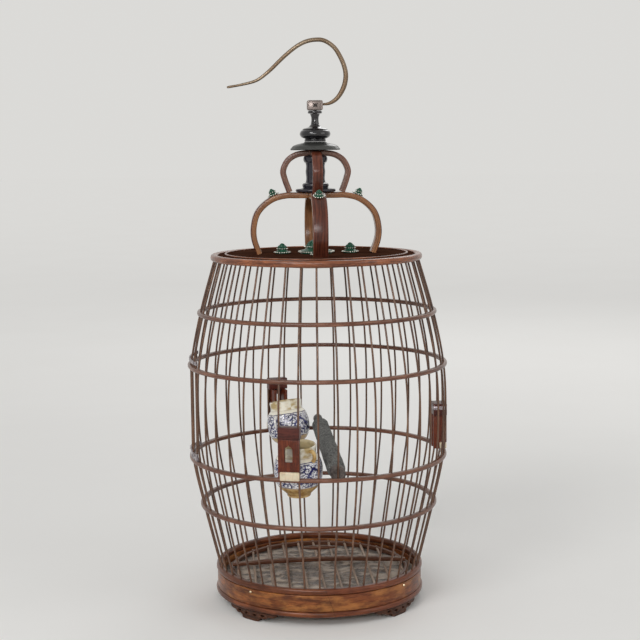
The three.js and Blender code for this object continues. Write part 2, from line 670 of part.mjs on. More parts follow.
// A lidless pot with a waisted neck. Its belly lies against the two cheeks of its bracket.
function jarBody(pitches, { bottom, lean }) {
  const { radius, height, mouth, foot, wall, belly } = JAR;
  const geometry = turned([
    [0, 1.2], [foot - 3, 1.2], [foot - 2, 0], [foot, 0], [foot + 0.6, 2.4],
    [radius * 0.84, height * 0.2], [radius, height * belly], [radius * 0.93, height * 0.72],
    [mouth + 0.4, height * 0.86], [mouth + 1, height * 0.98], [mouth, height],
    [mouth - wall + 0.6, height], [mouth - wall, height * 0.86],
    [radius * 0.93 - wall, height * 0.7], [radius - wall, height * belly],
    [radius * 0.84 - wall, height * 0.22], [foot - 2, 2.4 + wall], [0, 2.4 + wall],
  ], JAR_SIDES);
  const nicheHalf = BRACKET.width / 2 - BRACKET.cheek;
  const flatRadius = radius * Math.cos(Math.PI / JAR_SIDES);
  const centre = bracketBack - Math.sqrt(flatRadius ** 2 - nicheHalf ** 2) - SEAT_GAP;
  geometry.translate(0, 0, -height * belly).rotateY(THREE.MathUtils.degToRad(lean));
  geometry.translate(centre, 0, bottom + height * belly);
  return geometry.rotateZ(pitches * PITCH);
}

// The perch lies on the third hoop, its forked ends round one bar at the front and one at the back.
function perchBody() {
  const x = barRadiusAt(bracketZ) * Math.sin(PITCH / 2);
  const reach = barRadiusAt(bracketZ) * Math.cos(PITCH / 2) + PERCH_OVERHANG;
  const z = bracketZ + PERCH_RADIUS;
  const rod = turned([
    [0, -reach], [PERCH_RADIUS - 1, -reach], [PERCH_RADIUS, 2 - reach], [PERCH_RADIUS, reach - PERCH_TAPER],
    [PERCH_TIP_RADIUS, reach - 4], [PERCH_TIP_RADIUS - 1.5, reach], [0, reach],
  ], 12).rotateX(-Math.PI / 2).translate(x, 0, z);
  const half = BAR_WIDTH / 2 + RUNNING_GAP;
  const fork = (s) => {
    const deep = s * (reach - PERCH_OVERHANG - BAR_WIDTH - RUNNING_GAP);
    const [y0, y1] = [deep, s * (reach + 5)].sort((a, b) => a - b);
    return solid(block(x - half, x + half, y0, y1, z - 12, z + 12));
  };
  return cut(solid(rod), fork(1), fork(-1));
}

// Floor
const floorBoardZ = bandZ + LEDGE_HEIGHT + SEAT_GAP;
const clothZ = floorBoardZ + FLOOR_BOARD_THICKNESS + SEAT_GAP;
const grilleZ = clothZ + CLOTH_THICKNESS + SEAT_GAP;
const floorRadius = (baseInner - SEAT_GAP) * Math.cos(PITCH / 2);
const grilleRadius = baseInner - GRILLE_CLEARANCE;
const stickPitch = (2 * (grilleRadius - STICK_EDGE_GAP)) / (STICK_COUNT - 1);

function grilleBody() {
  const { width, height } = GRILLE_RING;
  const inner = grilleRadius - width;
  const hoop = solid(ring([
    [inner, grilleZ], [grilleRadius, grilleZ], [grilleRadius, grilleZ + height],
    [inner, grilleZ + height],
  ], 24));
  const sticks = Array.from({ length: STICK_COUNT }, (_, i) => {
    const x = (i - (STICK_COUNT - 1) / 2) * stickPitch;
    const reach = Math.sqrt(grilleRadius ** 2 - x ** 2) + STICK_OVERHANG;
    const options = { depth: 2 * reach, bevelEnabled: false };
    const rod = new THREE.ExtrudeGeometry(regularShape(4, STICK_RADIUS), options);
    return solid(rod.translate(0, 0, -reach).rotateX(Math.PI / 2).translate(x, 0, grilleZ + height * 0.6));
  });
  return join(hoop, ...sticks);
}

const crossbarZ = grilleZ + GRILLE_RING.height + SEAT_GAP;

function crossbarBody() {
  const { width, height, rise } = CROSSBAR;
  const reach = grilleRadius - GRILLE_RING.width / 2;
  const lower = [];
  const upper = [];
  for (let i = -6; i <= 6; i += 1) {
    const x = (reach * i) / 6;
    const z = rise * (1 - (i / 6) ** 2);
    lower.push(new THREE.Vector2(x, z));
    upper.push(new THREE.Vector2(x, z + height * (1 - 0.35 * (i / 6) ** 4)));
  }
  const outline = new THREE.Shape([...lower, ...upper.reverse()]);
  const bow = new THREE.ExtrudeGeometry(outline, { depth: width, bevelEnabled: false });
  return bow.translate(0, 0, -width / 2).rotateX(Math.PI / 2).translate(0, 0, crossbarZ);
}

function handleBody() {
  const low = crossbarZ + CROSSBAR.rise + CROSSBAR.height + SEAT_GAP;
  const axisZ = low + HANDLE.stem + HANDLE.radius;
  const stem = turned([[0, low], [HANDLE.post, low], [HANDLE.post * 0.75, axisZ], [0, axisZ]], 10);
  const half = HANDLE.length / 2;
  const grip = turned([
    [0, -half], [HANDLE.tip, -half], [HANDLE.radius, -half * 0.3], [HANDLE.radius, half * 0.3],
    [HANDLE.tip, half], [0, half],
  ], 10).rotateY(Math.PI / 2).translate(0, 0, axisZ);
  return join(solid(stem), solid(grip));
}

// Assembly
const cage = new THREE.Group();

function place(name, body, material) {
  const geometry = weld(body instanceof THREE.BufferGeometry ? body : shell(body));
  geometry.computeVertexNormals();
  const mesh = new THREE.Mesh(geometry, material);
  mesh.name = name;
  cage.add(mesh);
}

['front_right', 'back_right', 'back_left', 'front_left'].forEach((where, i) => {
  place(`foot_${where}`, footBody(((2 * i - 1) * Math.PI) / 4), MATERIALS.baseWood);
});
place('base_lower_bead', lowerBead(), MATERIALS.beadWood);
place('base_band', bandBody(), MATERIALS.baseWood);
['back_right', 'back_left', 'front_left', 'front_right'].forEach((where, quarter) => {
  place(`wall_${where}`, wallQuarter(quarter), MATERIALS.darkBamboo);
});
place('hoop_1', drilled('hoop_1'), MATERIALS.bamboo);
place('hoop_2', lintelHoop(), MATERIALS.bamboo);
place('hoop_3', sillHoop(), MATERIALS.bamboo);
place('hoop_4', drilled('hoop_4'), MATERIALS.bamboo);
place('top_rim', rimRing(), MATERIALS.darkBamboo);
place('top_board', boardBody(), MATERIALS.lacquer);
place('top_inlay_ring', inlayRing(), MATERIALS.lacquer);
place('under_boss', bossBody(), MATERIALS.palewood);
place('lower_arch_x', lowerArches.x, MATERIALS.crownWood);
place('lower_arch_y', lowerArches.y, MATERIALS.crownWood);
place('upper_arch_x', upperArches.x, MATERIALS.crownWood);
place('upper_arch_y', upperArches.y, MATERIALS.crownWood);
place('crown_baluster', balusterBody(), MATERIALS.ebony);
place('flange', flangeBody(), MATERIALS.patina);
place('finial', finialBody(), MATERIALS.ebony);
place('finial_collar', collarBody(), MATERIALS.ebony);
place('hook_block', hookBlockBody(), MATERIALS.agedMetal);
place('hook_wire', hookWire(0), MATERIALS.brass);

place('rosette_centre', rosetteBody(CENTRE_ROSETTE, 0, 0, boardTop), MATERIALS.silver);
[['right', 0], ['back', 1], ['left', 2], ['front', 3]].forEach(([where, quarter]) => {
  const [c, s] = [Math.cos((quarter * Math.PI) / 2), Math.sin((quarter * Math.PI) / 2)];
  const { reach } = BOARD_ROSETTE;
  place(`rosette_board_${where}`, rosetteBody(BOARD_ROSETTE, reach * c, reach * s, boardTop), MATERIALS.silver);
  const out = SHOULDER_ROSETTE.reach;
  place(`rosette_shoulder_${where}`, rosetteBody(SHOULDER_ROSETTE, out * c, out * s, upperFootZ), MATERIALS.silver);
});

place('door_frame', doorFrame(), MATERIALS.whiteMetal);
place('door_head', doorHead(), MATERIALS.whiteMetal);
for (const [where, pitches] of Object.entries(BRACKET_PLACES)) {
  place(`jar_bracket_${where}`, bracketBody(pitches), MATERIALS.redwood);
  place(`bracket_bone_${where}`, boneBody(pitches), MATERIALS.bone);
}
place('jar_front', jarBody(BRACKET_PLACES.front, FRONT_JAR), MATERIALS.porcelain);
place('jar_back', jarBody(BRACKET_PLACES.back, BACK_JAR), MATERIALS.porcelain);
place('perch', perchBody(), MATERIALS.perchStone);

place('floor_board', disc(floorRadius, floorBoardZ, FLOOR_BOARD_THICKNESS, BAR_COUNT), MATERIALS.palewood);
place('floor_cloth', disc(floorRadius - 1, clothZ, CLOTH_THICKNESS, BAR_COUNT), MATERIALS.cloth);
place('floor_grille', grilleBody(), MATERIALS.redwood);
place('grille_crossbar', crossbarBody(), MATERIALS.redwood);
place('grille_handle', handleBody(), MATERIALS.darkBamboo);

export default cage;
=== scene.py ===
import json
import math

import bmesh
import bpy
from mathutils import Matrix, Vector, noise

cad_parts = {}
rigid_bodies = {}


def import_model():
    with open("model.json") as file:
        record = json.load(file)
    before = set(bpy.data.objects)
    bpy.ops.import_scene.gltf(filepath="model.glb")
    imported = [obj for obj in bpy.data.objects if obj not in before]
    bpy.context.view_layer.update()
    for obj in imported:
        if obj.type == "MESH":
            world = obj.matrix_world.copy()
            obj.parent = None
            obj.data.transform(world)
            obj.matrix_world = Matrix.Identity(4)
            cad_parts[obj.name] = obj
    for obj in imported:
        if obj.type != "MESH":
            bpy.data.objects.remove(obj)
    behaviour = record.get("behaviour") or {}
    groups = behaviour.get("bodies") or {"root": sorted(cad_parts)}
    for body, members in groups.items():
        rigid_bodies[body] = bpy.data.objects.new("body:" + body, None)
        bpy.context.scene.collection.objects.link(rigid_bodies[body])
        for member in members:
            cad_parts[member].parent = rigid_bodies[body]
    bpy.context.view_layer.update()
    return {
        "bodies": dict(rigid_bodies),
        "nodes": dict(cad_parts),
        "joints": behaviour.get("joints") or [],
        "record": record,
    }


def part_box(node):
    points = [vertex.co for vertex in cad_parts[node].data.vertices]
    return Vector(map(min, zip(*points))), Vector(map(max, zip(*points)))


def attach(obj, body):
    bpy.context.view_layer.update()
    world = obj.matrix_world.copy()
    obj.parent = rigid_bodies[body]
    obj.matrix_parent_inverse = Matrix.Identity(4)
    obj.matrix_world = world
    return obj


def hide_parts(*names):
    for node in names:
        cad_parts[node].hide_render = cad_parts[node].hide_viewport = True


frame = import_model()

bl_info = {
    "name": "Bamboo Birdcage",
    "version": (1, 0, 0),
    "blender": (4, 5, 0),
    "location": "View3D > Sidebar > Birdcage",
    "description": "Builds the bars, hoops, crown, hook, jars and floor of a round birdcage",
    "category": "Add Mesh",
}

MM = 0.001
BAR_COUNT = 44
PITCH = 2 * math.pi / BAR_COUNT
FLAT_TO_CORNER = 1 / math.cos(PITCH / 2)
DOOR_PITCHES = 5

# Heights and reaches that the frame gives
HOOP_NAMES = ("hoop_4", "hoop_3", "hoop_2", "hoop_1")
HOOP_HEIGHT = 4.6 * MM
HOOP_SWELL = 0.3 * MM
HOOP_WIDTH = 7.5 * MM
UPPER_BEAD_HEIGHT = 8.1 * MM
BASE_WALL = 8.5 * MM


def low(node):
    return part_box(node)[0]


def high(node):
    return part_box(node)[1]


def hoop_level(name):
    return low(name).z + HOOP_HEIGHT / 2


def hoop_middle(name):
    """Distance from the axis of the bars that the hoop is drilled for."""
    return high(name).x / FLAT_TO_CORNER - HOOP_WIDTH / 2


bead_low = low("wall_front_left").z
base_top = bead_low + UPPER_BEAD_HEIGHT
base_reach = high("base_lower_bead").x - 0.6 * MM
rim_low = low("top_rim").z
rim_reach = high("top_rim").x
board_top = high("top_board").z
door_reach = hoop_middle("hoop_2")


def srgb(red, green, blue):
    """A colour written in display values from 0 to 255, as Blender stores it."""
    def linear(value):
        value /= 255
        return value / 12.92 if value <= 0.04045 else ((value + 0.055) / 1.055) ** 2.4
    return (linear(red), linear(green), linear(blue))


def colour_property(label, *value):
    return bpy.props.FloatVectorProperty(
        name=label, description=f"{label} as it shows in plain light", subtype="COLOR",
        size=3, min=0, max=1, default=srgb(*value))


def length_property(label, text, value):
    return bpy.props.FloatProperty(
        name=label, description=text, default=value, unit="LENGTH", min=0)


class CageShape(bpy.types.PropertyGroup):
    bar_thickness: length_property("Bar thickness", "Diameter of a wall bar", 2.5 * MM)
    bar_sway: length_property("Bar sway", "How far a bar strays from its true line", 0.35 * MM)
    edge_round: length_property("Edge round", "Radius of the worn wooden edges", 0.8 * MM)
    cloth_wrinkle: length_property("Cloth wrinkle", "Height of the floor cloth's wrinkles", 3.4 * MM)
    nail_radius: length_property("Nail radius", "Radius of the bright nail heads", 1.8 * MM)
    bead_radius: length_property("Bead radius", "Radius of the rosettes' silver beads", 1.05 * MM)


class CageColours(bpy.types.PropertyGroup):
    bar: colour_property("Bars", 132, 97, 75)
    bar_dark: colour_property("Bars' dark fibres", 64, 44, 35)
    hoop: colour_property("Hoops", 136, 94, 74)
    hoop_dark: colour_property("Hoops' dark fibres", 78, 44, 32)
    rim: colour_property("Top rim", 168, 102, 66)
    base: colour_property("Base wood", 148, 84, 42)
    base_gold: colour_property("Base wood's pale figure", 178, 118, 62)
    base_dark: colour_property("Base wood's dark figure", 62, 30, 16)
    bead: colour_property("Base beads", 132, 74, 44)
    foot: colour_property("Feet", 92, 58, 42)
    lacquer: colour_property("Top lacquer", 84, 52, 38)
    # The crown strips' inner faces and edges take the paler colours below, painted lighter than the outer faces as if
    # lit by the front lamp.
    crown_front: colour_property("Lower crown strips' outer faces", 104, 54, 38)
    crown_side: colour_property("Lower crown strips", 168, 118, 78)
    crown_upper: colour_property("Upper crown strips", 140, 104, 88)
    crown_upper_front: colour_property("Upper crown strips' outer faces", 118, 64, 46)
    red_wood: colour_property("Bracket wood", 112, 52, 30)
    cap_wood: colour_property("Bracket caps", 92, 44, 36)
    stick: colour_property("Grille sticks", 178, 154, 134)
    grille_wood: colour_property("Grille ring and crossbar", 112, 72, 52)
    brass: colour_property("Hook brass", 134, 118, 100)
    porcelain: colour_property("Porcelain", 250, 245, 228)
    cobalt: colour_property("Cobalt blue", 12, 13, 56)
    amber: colour_property("Amber glaze", 206, 172, 112)
    emerald: colour_property("Emerald enamel", 6, 62, 42)
    bone: colour_property("Bone", 208, 196, 170)
    grit: colour_property("Perch grit", 124, 125, 122)
    cloth: colour_property("Floor cloth", 118, 100, 82)


class CageStage(bpy.types.PropertyGroup):
    floor: colour_property("Floor", 238, 237, 234)
    key_power: bpy.props.FloatProperty(
        name="Key light", description="Power of the large soft light", default=43, min=0)
    fill_power: bpy.props.FloatProperty(
        name="Fill light", description="Power of the soft light opposite", default=14, min=0)
    front_power: bpy.props.FloatProperty(
        name="Front light", description="Power of the wide light over the camera", default=24.5, min=0)
    room_light: bpy.props.FloatProperty(
        name="Room light", description="Strength of the even light all round", default=0.45, min=0)


# Shader nodes

class Net:
    """Adds nodes to one tree and links them."""

    def __init__(self, tree):
        self.tree = tree

    def feed(self, socket, value):
        if isinstance(value, bpy.types.NodeSocket):
            self.tree.links.new(value, socket)
        elif socket.type == "RGBA" and len(value) == 3:
            socket.default_value = (*value, 1)
        else:
            socket.default_value = value

    def node(self, kind, settings=None, **inputs):
        made = self.tree.nodes.new("ShaderNode" + kind)
        for key, value in (settings or {}).items():
            setattr(made, key, value)
        for key, value in inputs.items():
            self.feed(made.inputs[key.replace("_", " ")], value)
        return made

    def math(self, operation, *values, clamp=False):
        made = self.node("Math", {"operation": operation, "use_clamp": clamp})
        for socket, value in zip(made.inputs, values):
            self.feed(socket, value)
        return made.outputs[0]

    def mix(self, factor, first, second, blend="MIX"):
        made = self.node("Mix", {"data_type": "RGBA", "blend_type": blend})
        for index, value in ((0, factor), (6, first), (7, second)):
            self.feed(made.inputs[index], value)
        return made.outputs[2]

    def remap(self, value, from_low, from_high, to_low=0.0, to_high=1.0):
        made = self.node("MapRange", {"interpolation_type": "SMOOTHSTEP"})
        for index, number in enumerate((value, from_low, from_high, to_low, to_high)):
            self.feed(made.inputs[index], number)
        return made.outputs[0]

    def noise(self, vector, scale, detail=3.0, roughness=0.5):
        made = self.node("TexNoise", Vector=vector, Scale=scale, Detail=detail, Roughness=roughness)
        return made.outputs[0]

    def stretched(self, vector, *scale):
        return self.node("Mapping", Vector=vector, Scale=scale).outputs[0]

    def place(self):
        return self.node("TexCoord").outputs["Object"]

    def parts(self, vector):
        return self.node("SeparateXYZ", Vector=vector).outputs

    def joined(self, x, y, z):
        return self.node("CombineXYZ", X=x, Y=y, Z=z).outputs[0]

    def group(self, tree, **inputs):
        return self.node("Group", {"node_tree": tree}, **inputs).outputs


SOCKETS = {"value": "NodeSocketFloat", "colour": "NodeSocketColor", "vector": "NodeSocketVector"}


def new_group(name, inputs, outputs):
    """An empty shader group, with its net and its input and output nodes."""
    tree = bpy.data.node_groups.new(name, "ShaderNodeTree")
    for label, kind in inputs.items():
        tree.interface.new_socket(label, in_out="INPUT", socket_type=SOCKETS[kind])
    for label, kind in outputs.items():
        tree.interface.new_socket(label, in_out="OUTPUT", socket_type=SOCKETS[kind])
    given = tree.nodes.new("NodeGroupInput").outputs
    result = tree.nodes.new("NodeGroupOutput").inputs
    return tree, Net(tree), given, result


def once(build):
    """A group is built at its first use and then shared."""
    def shared():
        name = build.__name__
        return bpy.data.node_groups.get(name) or build(name)
    return shared


@once
def ring_coordinates(name):
    """Coordinates that run round the cage's axis: along the ring, across it and up."""
    tree, net, given, result = new_group(name, {}, {"Around": "vector", "Turn": "value"})
    x, y, z = net.parts(net.place())[:3]
    turn = net.math("ARCTAN2", x, net.math("MULTIPLY", y, -1.0))
    reach = net.math("SQRT", net.math("ADD", net.math("MULTIPLY", x, x), net.math("MULTIPLY", y, y)))
    along = net.math("MULTIPLY", turn, 0.15)
    net.feed(result["Around"], net.joined(along, reach, z))
    net.feed(result["Turn"], turn)
    return tree


@once
def wood_grain(name):
    """Long fibres with pores and broad mottles."""
    inputs = {"Fibre": "vector", "Light": "colour", "Dark": "colour", "Mottle": "value",
              "Mottle Size": "value"}
    outputs = {"Color": "colour", "Roughness": "value", "Height": "value"}
    tree, net, given, result = new_group(name, inputs, outputs)
    fine = net.noise(given["Fibre"], 1.0, 5.0, 0.62)
    broad = net.noise(given["Fibre"], 0.22, 3.0, 0.5)
    pores = net.remap(net.noise(given["Fibre"], 2.6, 2.0, 0.7), 0.58, 0.74)
    blotch = net.noise(net.place(), given["Mottle Size"], 3.0, 0.55)
    depth = net.math("ADD", net.math("MULTIPLY", fine, 0.62), net.math("MULTIPLY", broad, 0.38))
    wood = net.mix(net.remap(depth, 0.34, 0.66), given["Dark"], given["Light"])
    shade = net.math("MULTIPLY", net.remap(blotch, 0.42, 0.62), given["Mottle"])
    wood = net.mix(shade, wood, given["Dark"])
    wood = net.mix(net.math("MULTIPLY", pores, 0.35), wood, given["Dark"])
    streak = net.remap(net.noise(given["Fibre"], 0.5, 2.0, 0.45), 0.6, 0.7)
    wood = net.mix(net.math("MULTIPLY", streak, 0.7), wood, given["Dark"])
    net.feed(result["Color"], wood)
    net.feed(result["Roughness"], net.math("ADD", net.math("MULTIPLY", fine, 0.22), 0.24))
    net.feed(result["Height"], net.math("SUBTRACT", depth, net.math("MULTIPLY", pores, 0.5)))
    return tree


@once
def edge_wear(name):
    """Where convex edges are rubbed, broken up by a fine noise."""
    tree, net, given, result = new_group(name, {"Amount": "value"}, {"Wear": "value"})
    sharp = net.node("NewGeometry").outputs["Pointiness"]
    rubbed = net.remap(sharp, 0.515, 0.58)
    broken = net.remap(net.noise(net.place(), 320.0, 3.0, 0.6), 0.4, 0.62)
    net.feed(result["Wear"], net.math("MULTIPLY", net.math("MULTIPLY", rubbed, broken), given["Amount"]))
    return tree


@once
def settled_dust(name):
    """A thin grey film on faces that look up: a dusty film, and also a painted highlight where the light falls on the
    tops.
    """
    tree, net, given, result = new_group(name, {"Amount": "value"}, {"Dust": "value"})
    up = net.parts(net.node("NewGeometry").outputs["Normal"])[2]
    lying = net.remap(up, 0.35, 0.98)
    patches = net.remap(net.noise(net.place(), 60.0, 5.0, 0.65), 0.36, 0.7)
    net.feed(result["Dust"], net.math("MULTIPLY", net.math("MULTIPLY", lying, patches), given["Amount"]))
    return tree


@once
def bar_tint(name):
    """A steady random value for each wall bar."""
    tree, net, given, result = new_group(name, {}, {"Tint": "value"})
    turn = net.group(ring_coordinates())["Turn"]
    index = net.math("FLOOR", net.math("DIVIDE", turn, PITCH))
    tint = net.node("TexWhiteNoise", {"noise_dimensions": "1D"}, W=index).outputs[0]
    net.feed(result["Tint"], tint)
    return tree


@once
def metal_scuffs(name):
    """Hairlines and soft stains on handled metal."""
    inputs = {"Size": "value", "Fineness": "value"}
    tree, net, given, result = new_group(name, inputs, {"Stain": "value", "Hairline": "value"})
    place = net.node("VectorMath", {"operation": "SCALE"}, Vector=net.place(), Scale=given["Size"]).outputs[0]
    stain = net.remap(net.noise(place, 1.0, given["Fineness"], 0.6), 0.38, 0.68)
    lines = net.noise(net.stretched(place, 14.0, 14.0, 1.2), 1.0, 2.0, 0.7)
    net.feed(result["Stain"], stain)
    net.feed(result["Hairline"], lines)
    return tree


@once
def scroll_band(name):
    """A common flower-and-tendril scroll for a pot, drawn on its own unwrapped surface."""
    tree, net, given, result = new_group(
        name, {"Surface": "vector", "Repeats": "value", "Middle": "value", "Half": "value"},
        {"Ink": "value", "Band": "value"})
    u, v, _ = net.parts(given["Surface"])[:3]
    wander = net.math("MULTIPLY", net.math("SUBTRACT", net.noise(given["Surface"], 14.0, 2.0), 0.5), 0.16)
    across = net.math("ADD", net.math("MULTIPLY", u, given["Repeats"]), wander)
    rise = net.math("DIVIDE", net.math("SUBTRACT", v, given["Middle"]), given["Half"])
    rise = net.math("ADD", rise, wander)

    def polar(shift, lift):
        x = net.math("SUBTRACT", net.math("FRACT", net.math("ADD", across, shift)), 0.5)
        y = net.math("MULTIPLY", net.math("ADD", rise, lift), 0.42)
        radius = net.math("SQRT", net.math("ADD", net.math("MULTIPLY", x, x), net.math("MULTIPLY", y, y)))
        return radius, net.math("ARCTAN2", y, x)

    radius, turn = polar(0.0, 0.0)
    petals = net.math("MULTIPLY", net.math("COSINE", net.math("MULTIPLY", turn, 6.0)), 0.05)
    flower = net.remap(net.math("SUBTRACT", radius, petals), 0.2, 0.16)
    heart = net.remap(radius, 0.085, 0.06)
    vein = net.remap(net.math("ABSOLUTE", net.math("SUBTRACT", radius, 0.12)), 0.008, 0.02, 1.0, 0.0)
    flower = net.math("SUBTRACT", flower, net.math("ADD", net.math("MULTIPLY", vein, 0.8), 0.0), clamp=True)
    flower = net.math("MAXIMUM", net.math("MULTIPLY", flower, 0.8), heart)
    ink = flower
    for shift, lift, way in ((0.5, 0.45, 1.0), (0.5, -0.45, -1.0), (0.25, 0.85, -1.0), (0.75, -0.85, 1.0)):
        radius, turn = polar(shift, lift)
        winding = net.math("ADD", net.math("MULTIPLY", turn, way), net.math("MULTIPLY", radius, 46.0))
        arm = net.remap(net.math("SINE", winding), 0.35, 0.75)
        inside = net.remap(radius, 0.24, 0.2)
        ink = net.math("MAXIMUM", ink, net.math("MULTIPLY", arm, inside))
    wave = net.math("SINE", net.math("MULTIPLY", across, 2 * math.pi))
    stem = net.math("ABSOLUTE", net.math("SUBTRACT", rise, net.math("MULTIPLY", wave, 0.55)))
    ink = net.math("MAXIMUM", ink, net.remap(stem, 0.16, 0.1))
    leaves = net.remap(net.noise(net.stretched(given["Surface"], 62.0, 34.0, 1.0), 1.0, 2.0, 0.45), 0.54, 0.57)
    ink = net.math("MAXIMUM", ink, net.math("MULTIPLY", leaves, 0.9))
    curl = net.noise(net.stretched(given["Surface"], 30.0, 17.0, 1.0), 1.0, 1.0, 0.4)
    curl = net.remap(net.math("ABSOLUTE", net.math("SUBTRACT", curl, 0.47)), 0.022, 0.012)
    ink = net.math("MAXIMUM", ink, net.math("MULTIPLY", curl, 0.95))
    inside_band = net.remap(net.math("ABSOLUTE", rise), 1.02, 0.98)
    border = net.math("ABSOLUTE", net.math("SUBTRACT", net.math("ABSOLUTE", rise), 1.06))
    ink = net.math("MULTIPLY", ink, inside_band)
    ink = net.math("MAXIMUM", ink, net.remap(border, 0.045, 0.025))
    net.feed(result["Ink"], ink)
    net.feed(result["Band"], inside_band)
    return tree


def new_material(name, **constants):
    material = bpy.data.materials.new(name)
    material.use_nodes = True
    shader = material.node_tree.nodes["Principled BSDF"]
    for key, value in constants.items():
        shader.inputs[key.replace("_", " ")].default_value = value
    return material, Net(material.node_tree), shader


def bumped(net, shader, height, strength, distance):
    normal = net.node("Bump", Height=height, Strength=strength, Distance=distance).outputs[0]
    net.feed(shader.inputs["Normal"], normal)


def varnished_wood(name, light, dark, fibre, mottle=0.3, mottle_size=40.0, coat=0.3, wear=0.4,
                   dust=0.0, seam=False, varied=False, bump=0.35, gold=None, gloss=0.1, outer=None):
    """Wood under varnish. fibre says how the grain runs: ring, up, run (as the strip bends), x or y.

    outer holds the light and the dark colour of a bent strip's outer face; the inner face and edges keep the paler
    light and dark colours, painted lighter as if lit by the front lamp.
    """
    material, net, shader = new_material(
        name, Coat_Weight=coat, Coat_Roughness=0.2, Specular_IOR_Level=gloss)
    scales = {"ring": (70.0, 900.0, 900.0), "up": (900.0, 900.0, 45.0), "run": (40.0, 700.0, 700.0),
              "x": (45.0, 900.0, 900.0), "y": (900.0, 45.0, 900.0)}
    if fibre == "ring":
        place = net.group(ring_coordinates())["Around"]
    elif fibre == "run":
        place = net.node("Attribute", {"attribute_name": "Run"}).outputs["Vector"]
    else:
        place = net.place()
    run = net.stretched(place, *scales[fibre])
    # Painted light: the inner face and edges keep the paler colours, as if lit by the front lamp, while the outer face
    # takes the darker outer ones.
    if outer:
        face = net.remap(net.parts(place)[2], 0.0021, 0.0029)
        light = net.mix(face, light, outer[0])
        dark = net.mix(face, dark, outer[1])
    grain = net.group(wood_grain(), Fibre=run, Light=light, Dark=dark, Mottle=mottle,
                      Mottle_Size=mottle_size)
    colour, rough = grain["Color"], grain["Roughness"]
    if gold:
        cloud = net.noise(net.stretched(run, 0.32, 0.075, 0.075), 1.0, 5.0, 0.62)
        colour = net.mix(net.remap(cloud, 0.44, 0.72, 0.0, 0.85), colour, gold)
    if varied:
        tint = net.group(bar_tint())["Tint"]
        colour = net.mix(net.math("MULTIPLY", tint, 0.4), colour, dark)
    if seam:
        x, y, z = net.parts(net.place())[:3]
        slant = net.math("ADD", x, net.math("MULTIPLY", z, 0.35))
        slant = net.math("SUBTRACT", slant, 0.0145)
        front = net.math("LESS_THAN", y, 0.0)
        side = net.math("MULTIPLY", net.remap(slant, -0.0002, 0.0002), front)
        colour = net.mix(net.math("MULTIPLY", side, 0.2), colour, srgb(104, 46, 28))
        line = net.remap(net.math("ABSOLUTE", slant), 0.00055, 0.0002)
        line = net.math("MULTIPLY", net.math("MULTIPLY", line, front), 0.45)
        colour = net.mix(line, colour, (0.01, 0.006, 0.004))
    worn = net.group(edge_wear(), Amount=wear)["Wear"]
    colour = net.mix(worn, colour, light)
    # Faces that look up turn pale grey: partly a dusty film, partly a painted highlight where the light falls on the
    # tops.
    if dust:
        film = net.group(settled_dust(), Amount=dust)["Dust"]
        colour = net.mix(film, colour, srgb(150, 140, 126))
        rough = net.math("ADD", rough, net.math("MULTIPLY", film, 0.4), clamp=True)
    net.feed(shader.inputs["Base Color"], colour)
    net.feed(shader.inputs["Roughness"], net.math("ADD", rough, net.math("MULTIPLY", worn, 0.15)))
    bumped(net, shader, grain["Height"], bump, 0.0006)
    return material


def gloss_black(name, tone, coat=0.6):
    """Polished black wood with faint hand marks."""
    material, net, shader = new_material(
        name, Coat_Weight=coat, Coat_Roughness=0.05, Specular_IOR_Level=0.25)
    marks = net.group(metal_scuffs(), Size=90.0, Fineness=5.0)
    worn = net.group(edge_wear(), Amount=0.35)["Wear"]
    colour = net.mix(net.math("MULTIPLY", marks["Stain"], 0.35), tone, srgb(44, 34, 32))
    net.feed(shader.inputs["Base Color"], net.mix(worn, colour, srgb(96, 88, 86)))
    net.feed(shader.inputs["Roughness"], net.math("ADD", net.math("MULTIPLY", marks["Stain"], 0.18), 0.14))
    bumped(net, shader, marks["Hairline"], 0.06, 0.0003)
    return material


def aged_metal(name, bright, stained, roughness, metallic=1.0, amount=0.6, size=120.0, wear=0.8, scratch=0.12,
               fineness=5.0):
    """Handled metal, with soft stains scattered over it and brighter where it is rubbed."""
    material, net, shader = new_material(name, Metallic=metallic)
    marks = net.group(metal_scuffs(), Size=size, Fineness=fineness)
    worn = net.group(edge_wear(), Amount=wear)["Wear"]
    colour = net.mix(net.math("MULTIPLY", marks["Stain"], amount), bright, stained)
    net.feed(shader.inputs["Base Color"], net.mix(worn, colour, bright))
    rough = net.math("ADD", net.math("MULTIPLY", marks["Stain"], 0.25), roughness)
    net.feed(shader.inputs["Roughness"], rough)
    bumped(net, shader, marks["Hairline"], scratch, 0.0003)
    return material


def enamel(name, tone):
    """Thick green enamel, paler where it thins."""
    material, net, shader = new_material(name, Coat_Weight=0.4, Coat_Roughness=0.04, Roughness=0.4, Specular_IOR_Level=0.2)
    cloud = net.noise(net.place(), 260.0, 3.0, 0.5)
    pale = tuple(min(1.0, channel * 1.6 + 0.004) for channel in tone)
    net.feed(shader.inputs["Base Color"], net.mix(net.remap(cloud, 0.4, 0.68), tone, pale))
    bumped(net, shader, cloud, 0.1, 0.0005)
    return material


def polished_bone(name, tone):
    material, net, shader = new_material(name, Roughness=0.32, Subsurface_Weight=0.15, Subsurface_Scale=0.002)
    streak = net.noise(net.stretched(net.place(), 700.0, 700.0, 90.0), 1.0, 4.0, 0.6)
    age = net.noise(net.place(), 90.0, 3.0, 0.5)
    colour = net.mix(net.remap(streak, 0.45, 0.75, 0.0, 0.55), tone, srgb(186, 152, 104))
    colour = net.mix(net.remap(age, 0.5, 0.75, 0.0, 0.4), colour, srgb(150, 112, 70))
    net.feed(shader.inputs["Base Color"], colour)
    bumped(net, shader, streak, 0.15, 0.0003)
    return material


